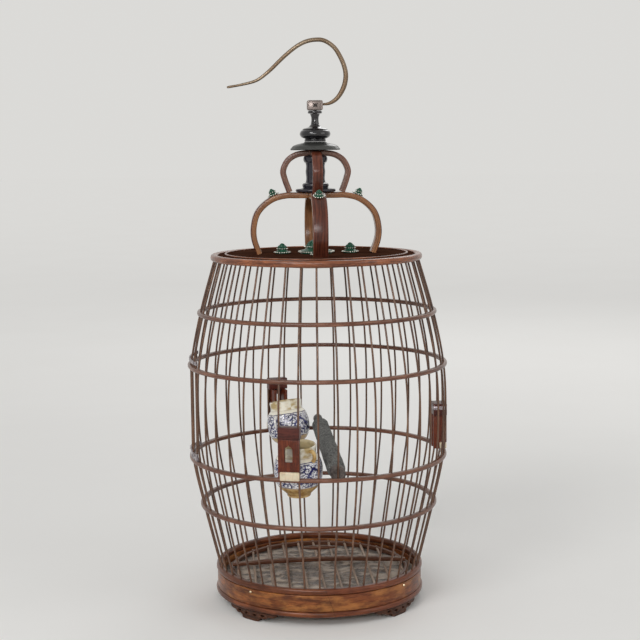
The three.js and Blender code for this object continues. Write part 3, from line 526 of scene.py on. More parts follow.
def coarse_grit(name, tone):
    """Crushed stone glued round the perch."""
    material, net, shader = new_material(name, Roughness=0.95, Specular_IOR_Level=0.2)
    grain = net.noise(net.place(), 300.0, 5.0, 0.75)
    crumbs = net.node("TexVoronoi", Vector=net.place(), Scale=460.0).outputs["Distance"]
    patch = net.noise(net.place(), 50.0, 3.0, 0.5)
    pale = tuple(min(1.0, channel * 2.4) for channel in tone)
    deep = tuple(channel * 0.35 for channel in tone)
    colour = net.mix(net.remap(grain, 0.4, 0.58), deep, tone)
    colour = net.mix(net.remap(crumbs, 0.26, 0.1), colour, pale)
    net.feed(shader.inputs["Base Color"], net.mix(net.remap(patch, 0.5, 0.72, 0.0, 0.5), colour, deep))
    height = net.math("ADD", grain, net.math("MULTIPLY", crumbs, -0.8))
    bumped(net, shader, height, 0.9, 0.0012)
    return material


def plain_weave(name, tone):
    """Unbleached cotton with a fine plain weave and old stains; its creases and hollows are painted dark as shade and
    its crumpled tops painted pale as lit.
    """
    material, net, shader = new_material(name, Roughness=0.94, Sheen_Weight=0.25, Sheen_Roughness=0.6)
    x, y, _ = net.parts(net.place())[:3]
    warp = net.math("SINE", net.math("MULTIPLY", x, 7200.0))
    weft = net.math("SINE", net.math("MULTIPLY", y, 7200.0))
    weave = net.math("MULTIPLY", warp, weft)
    slub = net.noise(net.stretched(net.place(), 1600.0, 120.0, 120.0), 1.0, 3.0, 0.6)
    stain = net.noise(net.place(), 22.0, 4.0, 0.6)
    fibre = net.noise(net.place(), 900.0, 3.0, 0.6)
    colour = net.mix(net.remap(fibre, 0.36, 0.68, 0.0, 0.4), tone, srgb(98, 88, 76))
    colour = net.mix(net.remap(stain, 0.42, 0.66, 0.0, 0.6), colour, srgb(92, 76, 60))
    # Painted shade: the creases are darkened as if in shadow.
    crease = net.math("ABSOLUTE", net.math("SUBTRACT", net.noise(net.place(), 62.0, 2.0, 0.45), 0.5))
    colour = net.mix(net.remap(crease, 0.035, 0.0, 0.0, 0.5), colour, srgb(60, 44, 32))
    colour = net.mix(net.remap(slub, 0.5, 0.75, 0.0, 0.35), colour, srgb(182, 170, 152))
    ridge = net.noise(net.place(), 85.0, 4.0, 0.62)
    bent = net.node("VectorMath", {"operation": "ADD"}, Vector=net.place()).inputs
    net.feed(bent[1], net.stretched(net.node("TexNoise", Vector=net.place(), Scale=40.0).outputs[1], 0.012, 0.012, 0.0))
    turned = net.node("Mapping", Vector=bent[0].node.outputs[0], Rotation=(0.0, 0.0, 0.6), Scale=(38.0, 92.0, 1.0))
    crumple_relief_and_shade = net.node("TexVoronoi", Vector=turned.outputs[0], Scale=1.0).outputs["Distance"]
    # Painted shade and light: the hollows between ridges and crumpled folds are darkened as if in shadow, and the
    # crumpled tops lightened as if lit.
    colour = net.mix(net.remap(ridge, 0.52, 0.4, 0.0, 0.6), colour, srgb(46, 33, 25))
    colour = net.mix(net.remap(crumple_relief_and_shade, 0.34, 0.08, 0.0, 0.75), colour, srgb(44, 32, 24))
    colour = net.mix(net.remap(crumple_relief_and_shade, 0.5, 0.72, 0.0, 0.7), colour, srgb(188, 170, 150))
    net.feed(shader.inputs["Base Color"], colour)
    height = net.math("ADD", net.math("MULTIPLY", weave, 0.25), net.math("ADD", slub, fibre))
    height = net.math("ADD", height, net.math("MULTIPLY", net.remap(crease, 0.07, 0.0), 2.4))
    height = net.math("ADD", height, net.math("MULTIPLY", ridge, 4.0))
    height = net.math("ADD", height, net.math("MULTIPLY", crumple_relief_and_shade, 6.0))
    bumped(net, shader, height, 0.6, 0.0006)
    return material


def painted_glaze(name, colours, amber_top, band_middle, band_half):
    """Cream porcelain with a cobalt scroll band over an amber foot, and a painted shadow line where the neck meets the
    shoulder.
    """
    material, net, shader = new_material(name, Coat_Weight=0.6, Coat_Roughness=0.05, Roughness=0.2)
    surface = net.node("TexCoord").outputs["UV"]
    v = net.parts(surface)[1]
    scroll = net.group(scroll_band(), Surface=surface, Repeats=5.0, Middle=band_middle, Half=band_half)
    cloud = net.noise(net.place(), 120.0, 4.0, 0.6)
    crackle = net.node("TexVoronoi", {"feature": "DISTANCE_TO_EDGE"}, Vector=net.place(), Scale=260.0)
    lines = net.remap(crackle.outputs["Distance"], 0.035, 0.0)
    patch = net.noise(net.stretched(surface, 9.0, 7.0, 1.0), 1.0, 3.0, 0.5)
    neck = net.math("MULTIPLY", net.remap(patch, 0.42, 0.64, 0.0, 0.9), net.remap(v, 0.78, 0.84))
    cream = net.mix(net.remap(cloud, 0.45, 0.75, 0.0, 0.35), colours.porcelain, srgb(214, 196, 150))
    cream = net.mix(neck, cream, srgb(184, 154, 84))
    white = net.mix(net.remap(cloud, 0.42, 0.66, 0.0, 0.4), srgb(240, 240, 244), srgb(186, 190, 216))
    ground = net.mix(net.math("MULTIPLY", scroll["Band"], 0.85), cream, white)
    ground = net.mix(net.math("MULTIPLY", lines, 0.12), ground, srgb(120, 92, 60))
    depth = net.remap(net.noise(net.place(), 420.0, 3.0, 0.6), 0.35, 0.68)
    blue = net.mix(depth, colours.cobalt, srgb(44, 48, 120))
    colour = net.mix(scroll["Ink"], ground, blue)
    # Painted shadow: a thin brown line where the neck meets the shoulder.
    neck_shade_line = net.remap(net.math("ABSOLUTE", net.math("SUBTRACT", v, 0.805)), 0.01, 0.002, 0.0, 0.3)
    colour = net.mix(neck_shade_line, colour, srgb(122, 84, 48))
    drift = net.math("ADD", v, net.math("MULTIPLY", net.math("SUBTRACT", cloud, 0.5), 0.03))
    amber = net.mix(net.remap(cloud, 0.36, 0.66), colours.amber, srgb(158, 118, 66))
    amber = net.mix(net.math("MULTIPLY", lines, 0.35), amber, srgb(84, 54, 30))
    colour = net.mix(net.remap(drift, amber_top + 0.012, amber_top - 0.012), colour, amber)
    net.feed(shader.inputs["Base Color"], colour)
    bumped(net, shader, net.noise(net.place(), 200.0, 3.0, 0.5), 0.08, 0.0006)
    return material


def plain_glaze(name, tone, stain, size=110.0):
    material, net, shader = new_material(name, Coat_Weight=0.6, Coat_Roughness=0.06, Roughness=0.2)
    cloud = net.noise(net.place(), size, 4.0, 0.6)
    net.feed(shader.inputs["Base Color"], net.mix(net.remap(cloud, 0.42, 0.72, 0.0, 0.7), tone, stain))
    bumped(net, shader, cloud, 0.08, 0.0006)
    return material


# Shapes

def smooth_line(points, steps):
    """Points on a smooth line through the given ones, with this many steps between two."""
    chain = [2 * points[0] - points[1], *points, 2 * points[-1] - points[-2]]
    line = []
    for a, b, c, d in zip(chain, chain[1:], chain[2:], chain[3:]):
        t0 = 0.0
        t1 = t0 + max((b - a).length, 1e-9) ** 0.5
        t2 = t1 + max((c - b).length, 1e-9) ** 0.5
        t3 = t2 + max((d - c).length, 1e-9) ** 0.5
        for i in range(steps):
            t = t1 + (t2 - t1) * i / steps
            p = a.lerp(b, (t - t0) / (t1 - t0))
            q = b.lerp(c, (t - t1) / (t2 - t1))
            r = c.lerp(d, (t - t2) / (t3 - t2))
            p = p.lerp(q, (t - t0) / (t2 - t0))
            q = q.lerp(r, (t - t1) / (t3 - t1))
            line.append(p.lerp(q, (t - t1) / (t2 - t1)))
    line.append(points[-1])
    return line


def profile_line(*stretches, steps=5):
    """A profile of smooth stretches of (radius, height) in millimetres that meet at corners."""
    line = []
    for stretch in stretches:
        points = [Vector((r * MM, 0, z * MM)) for r, z in stretch]
        line += smooth_line(points, steps) if len(points) > 2 else points
    return line


def rounded_section(inner, outer, bottom, top, radius, steps=4):
    """A closed profile: a rectangle with round corners."""
    radius = min(radius, (outer - inner) / 2, (top - bottom) / 2)
    corners = ((outer, bottom, -1), (outer, top, 0), (inner, top, 1), (inner, bottom, 2))
    line = []
    for x, z, quarter in corners:
        cx = x - radius if x == outer else x + radius
        cz = z - radius if z == top else z + radius
        for i in range(steps + 1):
            turn = (quarter + i / steps) * math.pi / 2
            line.append(Vector((cx + radius * math.cos(turn), 0, cz + radius * math.sin(turn))))
    return line


def spun(bm, line, segments, closed=True):
    """Turns a profile about Z."""
    verts = [bm.verts.new(point) for point in line]
    edges = [bm.edges.new(pair) for pair in zip(verts, verts[1:])]
    if closed:
        edges.append(bm.edges.new((verts[-1], verts[0])))
    bmesh.ops.spin(bm, geom=verts + edges, cent=(0, 0, 0), axis=(0, 0, 1), dvec=(0, 0, 0),
                   angle=2 * math.pi, steps=segments, use_merge=True)
    bmesh.ops.remove_doubles(bm, verts=bm.verts, dist=1e-6)


def section_frames(line, side, scale_at=None):
    """Placings of a section along a line that bends in the plane square to side."""
    frames = []
    for i, point in enumerate(line):
        along = (line[min(i + 1, len(line) - 1)] - line[max(i - 1, 0)]).normalized()
        over = along.cross(side)
        turn = Matrix((side, over, along)).transposed().to_4x4()
        size = scale_at(i / (len(line) - 1)) if scale_at else 1.0
        frames.append(Matrix.Translation(point) @ turn @ Matrix.Diagonal((size, size, 1, 1)))
    return frames


def swept(bm, face, frames):
    """Pulls a face along its frames; both ends stay closed."""
    for before, after in zip(frames, frames[1:]):
        made = bmesh.ops.extrude_face_region(bm, geom=[face, *face.edges, *face.verts])["geom"]
        moved = [item for item in made if isinstance(item, bmesh.types.BMVert)]
        face = next(item for item in made if isinstance(item, bmesh.types.BMFace))
        bmesh.ops.transform(bm, matrix=after @ before.inverted(), verts=moved)


def round_face(bm, radius, sides, frame):
    made = bmesh.ops.create_circle(bm, cap_ends=True, radius=radius, segments=sides, matrix=frame)
    return made["verts"][0].link_faces[0]


def strip_face(bm, width, thickness, rounding, frame):
    """A flat rounded face: width lies along the frame's X, thickness along its Y."""
    size = Matrix.Diagonal((width / 2, thickness / 2, 1, 1))
    verts = bmesh.ops.create_grid(bm, x_segments=1, y_segments=1, size=1, matrix=frame @ size)["verts"]
    face = verts[0].link_faces[0]
    made = bmesh.ops.bevel(bm, geom=list(face.verts), offset=rounding, affect="VERTICES",
                           segments=3, profile=0.5, material=-1)
    return made["verts"][0].link_faces[0]


def pierced_plate(bm, loops, depth):
    """A flat plate: the first loop is its outline, the others are openings, and depth its thickness."""
    edges = []
    for loop in loops:
        verts = [bm.verts.new(point) for point in loop]
        edges += [bm.edges.new(pair) for pair in zip(verts, verts[1:] + verts[:1])]
    filled = bmesh.ops.triangle_fill(bm, use_beauty=True, edges=edges)["geom"]
    faces = [item for item in filled if isinstance(item, bmesh.types.BMFace)]
    made = bmesh.ops.extrude_face_region(bm, geom=faces)["geom"]
    moved = [item for item in made if isinstance(item, bmesh.types.BMVert)]
    bmesh.ops.translate(bm, vec=depth, verts=moved)


def soften(bm, width, segments=2, sharpest=50):
    """Rounds the edges where faces meet at more than the given angle."""
    sharp = [e for e in bm.edges if len(e.link_faces) == 2 and e.calc_face_angle(0) > math.radians(sharpest)]
    bmesh.ops.bevel(bm, geom=sharp, offset=width, affect="EDGES", segments=segments, profile=0.5,
                    material=-1, clamp_overlap=True)


def rod(bm, start, end, radius, sides=12, end_radius=None):
    axis = end - start
    turn = axis.to_track_quat("Z", "Y").to_matrix().to_4x4()
    matrix = Matrix.Translation((start + end) / 2) @ turn
    return bmesh.ops.create_cone(
        bm, cap_ends=True, segments=sides, radius1=radius,
        radius2=radius if end_radius is None else end_radius, depth=axis.length, matrix=matrix)["verts"]


def slab(bm, corner, opposite):
    """A box between two corners."""
    size = opposite - corner
    matrix = Matrix.Translation((corner + opposite) / 2) @ Matrix.Diagonal((*size, 1))
    return bmesh.ops.create_cube(bm, size=1, matrix=matrix)["verts"]


def bead(bm, centre, radius, height=None, detail=1):
    """A small ball, or a flattened one."""
    squash = Matrix.Diagonal((1, 1, (height or radius) / radius, 1))
    matrix = Matrix.Translation(centre) @ squash
    return bmesh.ops.create_icosphere(bm, subdivisions=detail, radius=radius, matrix=matrix)["verts"]


def turned_by(angle):
    return Matrix.Rotation(angle, 4, "Z")


def about(angle, reach, height):
    return Vector((reach * math.cos(angle), reach * math.sin(angle), height))


def repeat_round(bm, geom, count, step):
    """Copies what is given round the axis, count times in all."""
    bmesh.ops.spin(bm, geom=geom, cent=(0, 0, 0), axis=(0, 0, 1), dvec=(0, 0, 0),
                   angle=step * (count - 1), steps=count - 1, use_duplicate=True)


def everything(bm):
    return bm.verts[:] + bm.edges[:] + bm.faces[:]


def finish_piece(name, bm, materials, body, slot, *stands_for, crease=38, merge=True):
    """Makes the mesh a piece that rides on its body, with its faces outward."""
    if merge:
        bmesh.ops.remove_doubles(bm, verts=bm.verts, dist=1e-6)
    bmesh.ops.recalc_face_normals(bm, faces=bm.faces)
    mesh = bpy.data.meshes.new(name)
    bm.to_mesh(mesh)
    bm.free()
    mesh.shade_smooth()
    mesh.set_sharp_from_angle(angle=math.radians(crease))
    for material in materials if isinstance(materials, (list, tuple)) else [materials]:
        mesh.materials.append(material)
    piece = bpy.data.objects.new(name, mesh)
    bpy.context.scene.collection.objects.link(piece)
    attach(piece, body)
    if stands_for:
        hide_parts(*stands_for)
    return piece


def worn_copy(node, width, segments=2):
    """The node's own shape with its edges rounded."""
    bm = bmesh.new()
    bm.from_mesh(frame["nodes"][node].data)
    bmesh.ops.remove_doubles(bm, verts=bm.verts, dist=1e-6)
    bmesh.ops.dissolve_limit(bm, angle_limit=math.radians(1), verts=bm.verts, edges=bm.edges)
    soften(bm, width, segments, sharpest=40)
    return bm


def shape():
    return bpy.context.scene.cage_shape


def colours():
    return bpy.context.scene.cage_colours


def material(name, build, *values, **settings):
    """One material of that name, made at its first use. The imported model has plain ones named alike."""
    name = f"cage_{name}"
    return bpy.data.materials.get(name) or build(name, *values, **settings)


def hoop_wood():
    tones = colours()
    # The hoops' pale tops are partly a dusty film and partly a painted highlight.
    return material("hoop_bamboo", varnished_wood, tones.hoop, tones.hoop_dark, "ring",
                    mottle=0.3, mottle_size=34.0, coat=0.5, wear=0.6, dust=0.2)


def base_wood():
    tones = colours()
    return material("base_wood", varnished_wood, tones.base, tones.base_dark, "ring", mottle=0.5,
                    mottle_size=36.0, coat=0.4, wear=0.5, seam=True, gold=tones.base_gold)


def bead_wood():
    tones = colours()
    return material("bead_wood", varnished_wood, tones.bead, tones.base_dark, "ring", mottle=0.45,
                    mottle_size=36.0, coat=0.4, wear=0.6, seam=True, dust=0.06)


def red_wood(fibre="up"):
    tones = colours()
    return material(f"red_wood_{fibre}", varnished_wood, tones.red_wood, srgb(56, 22, 14), fibre,
                    mottle=0.35, mottle_size=70.0, coat=0.35, wear=0.7)


def cap_wood():
    tones = colours()
    return material("cap_wood", varnished_wood, tones.cap_wood, srgb(48, 22, 18), "ring",
                    mottle=0.35, mottle_size=70.0, coat=0.35, wear=0.7, dust=0.1)


def grille_wood(fibre):
    tones = colours()
    # The crossbar's pale top is partly a dusty film and partly a painted highlight.
    return material(f"grille_wood_{fibre}", varnished_wood, tones.grille_wood, srgb(64, 38, 26), fibre,
                    mottle=0.35, mottle_size=50.0, coat=0.3, wear=0.7, dust=0.6 if fibre == "x" else 0.2)


def bar_wood(fibre="up"):
    tones = colours()
    return material(f"bar_bamboo_{fibre}", varnished_wood, tones.bar, tones.bar_dark, fibre,
                    mottle=0.4, mottle_size=30.0, coat=0.5, wear=0.2, varied=fibre == "up")


def silver():
    return material("bead_silver", aged_metal, srgb(226, 224, 214), srgb(128, 128, 116), 0.3)


def black_wood():
    return material("black_wood", gloss_black, srgb(10, 10, 14), coat=0.85)


def white_metal():
    return material("white_metal", aged_metal, srgb(176, 166, 170), srgb(70, 62, 66), 0.22,
                    amount=0.85, size=190.0)


# Operators

class CagePiece:
    """What the operators share."""
    bl_options = {"REGISTER", "UNDO"}

    def execute(self, context):
        self.make()
        return {"FINISHED"}


def bar_line():
    """The line that a wall bar follows, in the XZ plane."""
    points = [Vector((base_reach - 4.9 * MM, 0, base_top - 2 * MM))]
    points += [Vector((hoop_middle(name), 0, hoop_level(name))) for name in HOOP_NAMES[:2]]
    belly = (hoop_level("hoop_2") + hoop_level("hoop_3")) / 2
    points.append(Vector((hoop_middle("hoop_2") + 2.8 * MM, 0, belly)))
    points += [Vector((hoop_middle(name), 0, hoop_level(name))) for name in HOOP_NAMES[2:]]
    points.append(Vector((rim_reach - 5 * MM, 0, rim_low + 2 * MM)))
    return smooth_line(points, 5)


def one_bar(bm, keep_below=None, keep_above=None):
    """A bar in the XZ plane, whole or cut off at a height."""
    frames = section_frames(bar_line(), Vector((0, 1, 0)))
    face = round_face(bm, shape().bar_thickness / 2, 10, frames[0])
    swept(bm, face, frames)
    for height, normal in ((keep_below, 1), (keep_above, -1)):
        if height is not None:
            bmesh.ops.bisect_plane(bm, geom=everything(bm), plane_co=(0, 0, height),
                                   plane_no=(0, 0, normal), clear_outer=True)
            bmesh.ops.holes_fill(bm, edges=bm.edges, sides=0)


def bar_group(first, count, **cut):
    bm = bmesh.new()
    one_bar(bm, **cut)
    bmesh.ops.rotate(bm, verts=bm.verts, cent=(0, 0, 0), matrix=Matrix.Rotation((first + 0.5) * PITCH, 3, "Z"))
    repeat_round(bm, everything(bm), count, PITCH)
    return bm


def sway(bm):
    """Split bamboo is never quite straight between its hoops."""
    held = [hoop_level(name) for name in HOOP_NAMES] + [base_top, rim_low]
    for vert in bm.verts:
        angle = math.atan2(vert.co.y, vert.co.x)
        index = math.floor(angle / PITCH)
        free = min(1.0, min(abs(vert.co.z - z) for z in held) / (26 * MM))
        drift = noise.noise(Vector((index * 7.31, vert.co.z * 9, 0.4))) * shape().bar_sway * 2 * free
        vert.co += Vector((-math.sin(angle), math.cos(angle), 0)) * drift


class CAGE_OT_bars(CagePiece, bpy.types.Operator):
    """Make the wall bars and the base's upper bead that they stand in"""
    bl_idname = "cage.bars"
    bl_label = "Bars"

    def make(self):
        removed = DOOR_PITCHES - 1
        first_cut = (BAR_COUNT - removed) // 2
        walls = ("wall_front_left", "wall_front_right", "wall_back_left", "wall_back_right")
        groups = (
            ("bars", bar_group(first_cut + removed, BAR_COUNT - removed)),
            ("bars_under_door", bar_group(first_cut, removed, keep_below=hoop_level("hoop_3"))),
            ("bars_over_door", bar_group(first_cut, removed, keep_above=hoop_level("hoop_2"))),
        )
        for name, bm in groups:
            sway(bm)
            finish_piece(name, bm, bar_wood(), "cage", "dark_bamboo")
        bm = bmesh.new()
        spun(bm, rounded_section(base_reach - BASE_WALL, base_reach, bead_low, base_top, 3.2 * MM), 176)
        finish_piece("base_upper_bead", bm, bead_wood(), "cage", "bead_wood", *walls)


class CAGE_OT_hoops(CagePiece, bpy.types.Operator):
    """Make the four bamboo hoops"""
    bl_idname = "cage.hoops"
    bl_label = "Hoops"

    def make(self):
        for name in HOOP_NAMES:
            bm = bmesh.new()
            z = hoop_level(name)
            outer = high(name).x
            half = HOOP_HEIGHT / 2 + HOOP_SWELL
            spun(bm, rounded_section(outer - HOOP_WIDTH, outer, z - half, z + half, 2.1 * MM), 176)
            finish_piece(f"{name}_ring", bm, hoop_wood(), "cage", "bamboo", name)


class CAGE_OT_base(CagePiece, bpy.types.Operator):
    """Make the base's band, its lower bead and the nail heads"""
    bl_idname = "cage.base"
    bl_label = "Base"

    def make(self):
        bottom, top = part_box("base_band")
        bm = bmesh.new()
        inner = base_reach - BASE_WALL
        spun(bm, rounded_section(inner, top.x, bottom.z, top.z, shape().edge_round), 176)
        ledge = rounded_section(inner - 4.5 * MM, inner + 1 * MM, bottom.z, bottom.z + 8 * MM, 0.4 * MM)
        spun(bm, ledge, 176)
        finish_piece("base_band_ring", bm, base_wood(), "cage", "base_wood", "base_band")
        bottom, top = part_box("base_lower_bead")
        bm = bmesh.new()
        spun(bm, rounded_section(inner, top.x, bottom.z, top.z, 3 * MM), 176)
        finish_piece("base_lower_bead_ring", bm, bead_wood(), "cage", "bead_wood", "base_lower_bead")
        bm = bmesh.new()
        radius = shape().nail_radius
        reach = high("base_band").x - 0.2 * MM
        level = high("base_band").z - 3.6 * MM
        for turn in (-134.3, -41.4, 41.4, 134.3):
            bead(bm, about(math.radians(turn), reach, level), radius, detail=2)
        nail = material("nail_brass", aged_metal, srgb(238, 222, 186), srgb(170, 132, 88), 0.18, amount=0.25)
        finish_piece("base_nails", bm, nail, "cage", "brass")


def foot_outline():
    """Half of a foot's outline: sole, curl and the scalloped apron, in arc length and height."""
    half = [(9.5, 0), (12.6, 0.5), (14.8, 2.2), (14.6, 4.2), (17.4, 5.4), (22, 4.8), (26, 6), (28.8, 8),
            (32.8, 7.5), (37, 8.4), (39.8, 10.4), (39.2, 12)]
    return smooth_line([Vector((s * MM, 0, z * MM)) for s, z in half], 4)


def cut_across(bm, half):
    """Cuts a plate at every 4 mm of its length, so that it can bend."""
    for station in range(-half, half + 1, 4):
        bmesh.ops.bisect_plane(bm, geom=everything(bm), plane_co=(station * MM, 0, 0), plane_no=(1, 0, 0))


def leaf_opening(middle, rise, reach):
    """A leaf-shaped opening in a plate, pointed at its outer end."""
    side = 1 if middle > 0 else -1
    ring = []
    for i in range(10):
        turn = i * math.pi / 5
        long = reach * math.cos(turn) * (1.25 if math.cos(turn) > 0 else 0.9)
        high = 1.5 * math.sin(turn) * (1 - 0.35 * math.cos(turn))
        ring.append(Vector(((middle + side * long) * MM, 0, (rise + high) * MM)))
    return ring


class CAGE_OT_feet(CagePiece, bpy.types.Operator):
    """Make the four carved and pierced feet with their scalloped aprons"""
    bl_idname = "cage.feet"
    bl_label = "Feet"

    def make(self):
        depth = 6.5 * MM
        outer = base_reach - 1.5 * MM
        half = foot_outline()
        outline = half + [Vector((-p.x, 0, p.z)) for p in reversed(half)]
        places = ((7, 7.8, 2.8), (19.5, 8.7, 3.2))
        openings = [leaf_opening(side * s, z, reach) for side in (-1, 1) for s, z, reach in places]
        tones = colours()
        wood = material("foot_wood", varnished_wood, tones.foot, srgb(34, 20, 14), "ring", mottle=0.5,
                        mottle_size=90.0, coat=0.3, wear=0.9)
        for where, turn in (("front_right", -45), ("back_right", 45), ("back_left", 135), ("front_left", -135)):
            bm = bmesh.new()
            pierced_plate(bm, [outline, *openings], Vector((0, -depth, 0)))
            soften(bm, 0.6 * MM)
            cut_across(bm, 36)
            scrolls(bm, depth)
            for vert in bm.verts:
                angle = vert.co.x / outer + math.radians(turn)
                vert.co = about(angle, outer - depth - vert.co.y, max(0.0, vert.co.z))
            finish_piece(f"foot_{where}_carved", bm, wood, "cage", "base_wood", f"foot_{where}")


def scrolls(bm, depth):
    """Raised lines on the foot's face: one along its edge, and one curled round each opening."""
    edge = ((10.6, 1.2), (12.8, 2.6), (12.9, 4.8), (16.6, 6.6), (21.8, 6.2), (25.4, 7.4), (28.4, 9.4),
            (33, 9), (37, 10))
    ridge = 0.55 * MM
    for side in (-1, 1):
        line = smooth_line([Vector((side * s * MM, -depth, z * MM)) for s, z in edge], 4)
        frames = section_frames(line, Vector((0, 1, 0)))
        swept(bm, round_face(bm, ridge, 6, frames[0]), frames)
        for middle, rise, reach in ((7, 7.8, 5.4), (19.8, 8.8, 5.8)):
            line = []
            for i in range(15):
                turn = (0.15 + i / 14 * 1.35) * math.pi
                shrink = 1 - 0.35 * i / 14
                line.append(Vector((side * (middle + reach * shrink * math.cos(turn)) * MM, -depth,
                                    (rise + 2.6 * shrink * math.sin(turn)) * MM)))
            frames = section_frames(line, Vector((0, 1, 0)))
            swept(bm, round_face(bm, ridge, 6, frames[0]), frames)


class CAGE_OT_top(CagePiece, bpy.types.Operator):
    """Make the top rim, the lacquered board, its inlay ring and the boss under it"""
    bl_idname = "cage.top"
    bl_label = "Top"

    def make(self):
        bottom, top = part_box("top_rim")
        bm = bmesh.new()
        width = 9.6 * MM
        spun(bm, rounded_section(top.x - width, top.x, bottom.z, top.z, 3.4 * MM), 176)
        ledge = rounded_section(top.x - width - 3.4 * MM, top.x - width + 1 * MM, bottom.z,
                                bottom.z + 2.6 * MM, 0.3 * MM)
        spun(bm, ledge, 176)
        tones = colours()
        rim_wood = material("rim_wood", varnished_wood, tones.rim, srgb(74, 38, 24), "ring", mottle=0.4,
                            mottle_size=30.0, coat=0.6, wear=0.6)
        finish_piece("top_rim_ring", bm, rim_wood, "cage", "bamboo", "top_rim")
        gloss = material("top_lacquer", varnished_wood, tones.lacquer, srgb(44, 24, 16), "x", mottle=0.5,
                         mottle_size=22.0, coat=0.0, wear=0.5, dust=0.03, bump=0.2, gloss=0.0)
        bottom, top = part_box("top_board")
        bm = bmesh.new()
        edge = 0.8 * MM
        reach = top.x
        line = [Vector((0, 0, bottom.z)), Vector((reach, 0, bottom.z)), Vector((reach, 0, top.z - edge)),
                Vector((reach - edge, 0, top.z)), Vector((reach * 0.5, 0, top.z)), Vector((0, 0, top.z))]
        spun(bm, line, 176, closed=False)
        finish_piece("top_board_disc", bm, gloss, "cage", "lacquer", "top_board")
        bottom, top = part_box("top_inlay_ring")
        bm = bmesh.new()
        spun(bm, rounded_section(top.x - 2.6 * MM, top.x, bottom.z - 0.3 * MM, top.z, 1.2 * MM), 176)
        finish_piece("top_inlay_bead", bm, rim_wood, "cage", "lacquer", "top_inlay_ring")
        bottom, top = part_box("under_boss")
        r = top.x / MM
        z0, z1 = bottom.z / MM, top.z / MM
        bm = bmesh.new()
        line = profile_line([(0, z0 + 2), (r - 12, z0 + 2)], [(r - 10, z0 + 0.6), (r - 6, z0), (r - 2.4, z0 + 1),
                            (r, z0 + 4), (r - 1, z0 + 7)], [(r - 2, z1), (0, z1)])
        spun(bm, line, 96, closed=False)
        pale = material("boss_wood", varnished_wood, srgb(178, 146, 108), srgb(112, 76, 48), "ring",
                        mottle=0.3, coat=0.2, wear=0.3)
        finish_piece("under_boss_turned", bm, pale, "cage", "pale_wood", "under_boss")


# Middle lines of the crown's strips: distance from the axis, and height over the foot
LOWER_LINE = ((73.5, 0.3), (79.6, 18), (80.6, 32), (76, 51.3), (66.1, 63.3), (53, 71.4), (37, 74.9), (26, 74.9))
UPPER_LINE = ((33.7, 0.3), (39.8, 17.4), (41.6, 27.4), (35.4, 40.6), (25.4, 47.3), (15, 49.5), (8, 49.7))
STRIP_THICKNESS = 7.4
SHOULDER_REACH = 54.4
SHOULDER_RISE = 74.8
SHOULDER_SLOPE = 21.6


def arch_line(places, foot_z):
    """Half of a crown strip's middle line, from its foot to the flat top."""
    return smooth_line([Vector((x * MM, 0, (foot_z + z) * MM)) for x, z in places], 7)


def strip_section(bm, strip, frame):
    return strip_face(bm, strip, STRIP_THICKNESS * MM, 1.5 * MM, frame)


def crossing_strip(bm, places, foot_z, strip):
    """The strip that is interrupted at the crossing: two sides and the tongue below."""
    line = arch_line(places, foot_z)
    top = line[-1].z
    line.append(Vector((strip / 2 + 0.15 * MM, 0, top)))
    frames = section_frames(line, Vector((0, 1, 0)))
    swept(bm, strip_section(bm, strip, frames[0]), frames)
    repeat_round(bm, everything(bm), 2, math.pi)
    quarter = STRIP_THICKNESS * MM / 4
    half = Vector((strip / 2 + 1 * MM, strip / 2, quarter - 0.1 * MM))
    centre = Vector((0, 0, top - quarter))
    slab(bm, centre - half, centre + half)
    write_run(bm, line)


def write_run(bm, line):
    """Writes each corner's place along the strip, across it and outward from its middle line."""
    layer = bm.verts.layers.float_vector.new("Run")
    lengths = [0.0]
    for before, after in zip(line, line[1:]):
        lengths.append(lengths[-1] + (after - before).length)
    heart = Vector((0, 0, (line[0].z + line[-1].z) / 2))
    for vert in bm.verts:
        flat = Vector((abs(vert.co.x), 0, vert.co.z))
        nearest = min(range(len(line)), key=lambda i: (line[i] - flat).length_squared)
        along = lengths[-1] - lengths[nearest] + line[-1].x
        out = (flat - heart).length - (line[nearest] - heart).length
        vert[layer] = (along if vert.co.x > 0 else -along, vert.co.y, out)


def lapping_strip(bm, places, foot_z, strip):
    """The strip that runs over the crossing in one piece."""
    line = arch_line(places, foot_z)
    whole = line + [Vector((-p.x, 0, p.z)) for p in reversed(line)]
    frames = section_frames(whole, Vector((0, 1, 0)))
    swept(bm, strip_section(bm, strip, frames[0]), frames)
    write_run(bm, line)
    bmesh.ops.rotate(bm, verts=bm.verts, cent=(0, 0, 0), matrix=Matrix.Rotation(math.pi / 2, 3, "Z"))


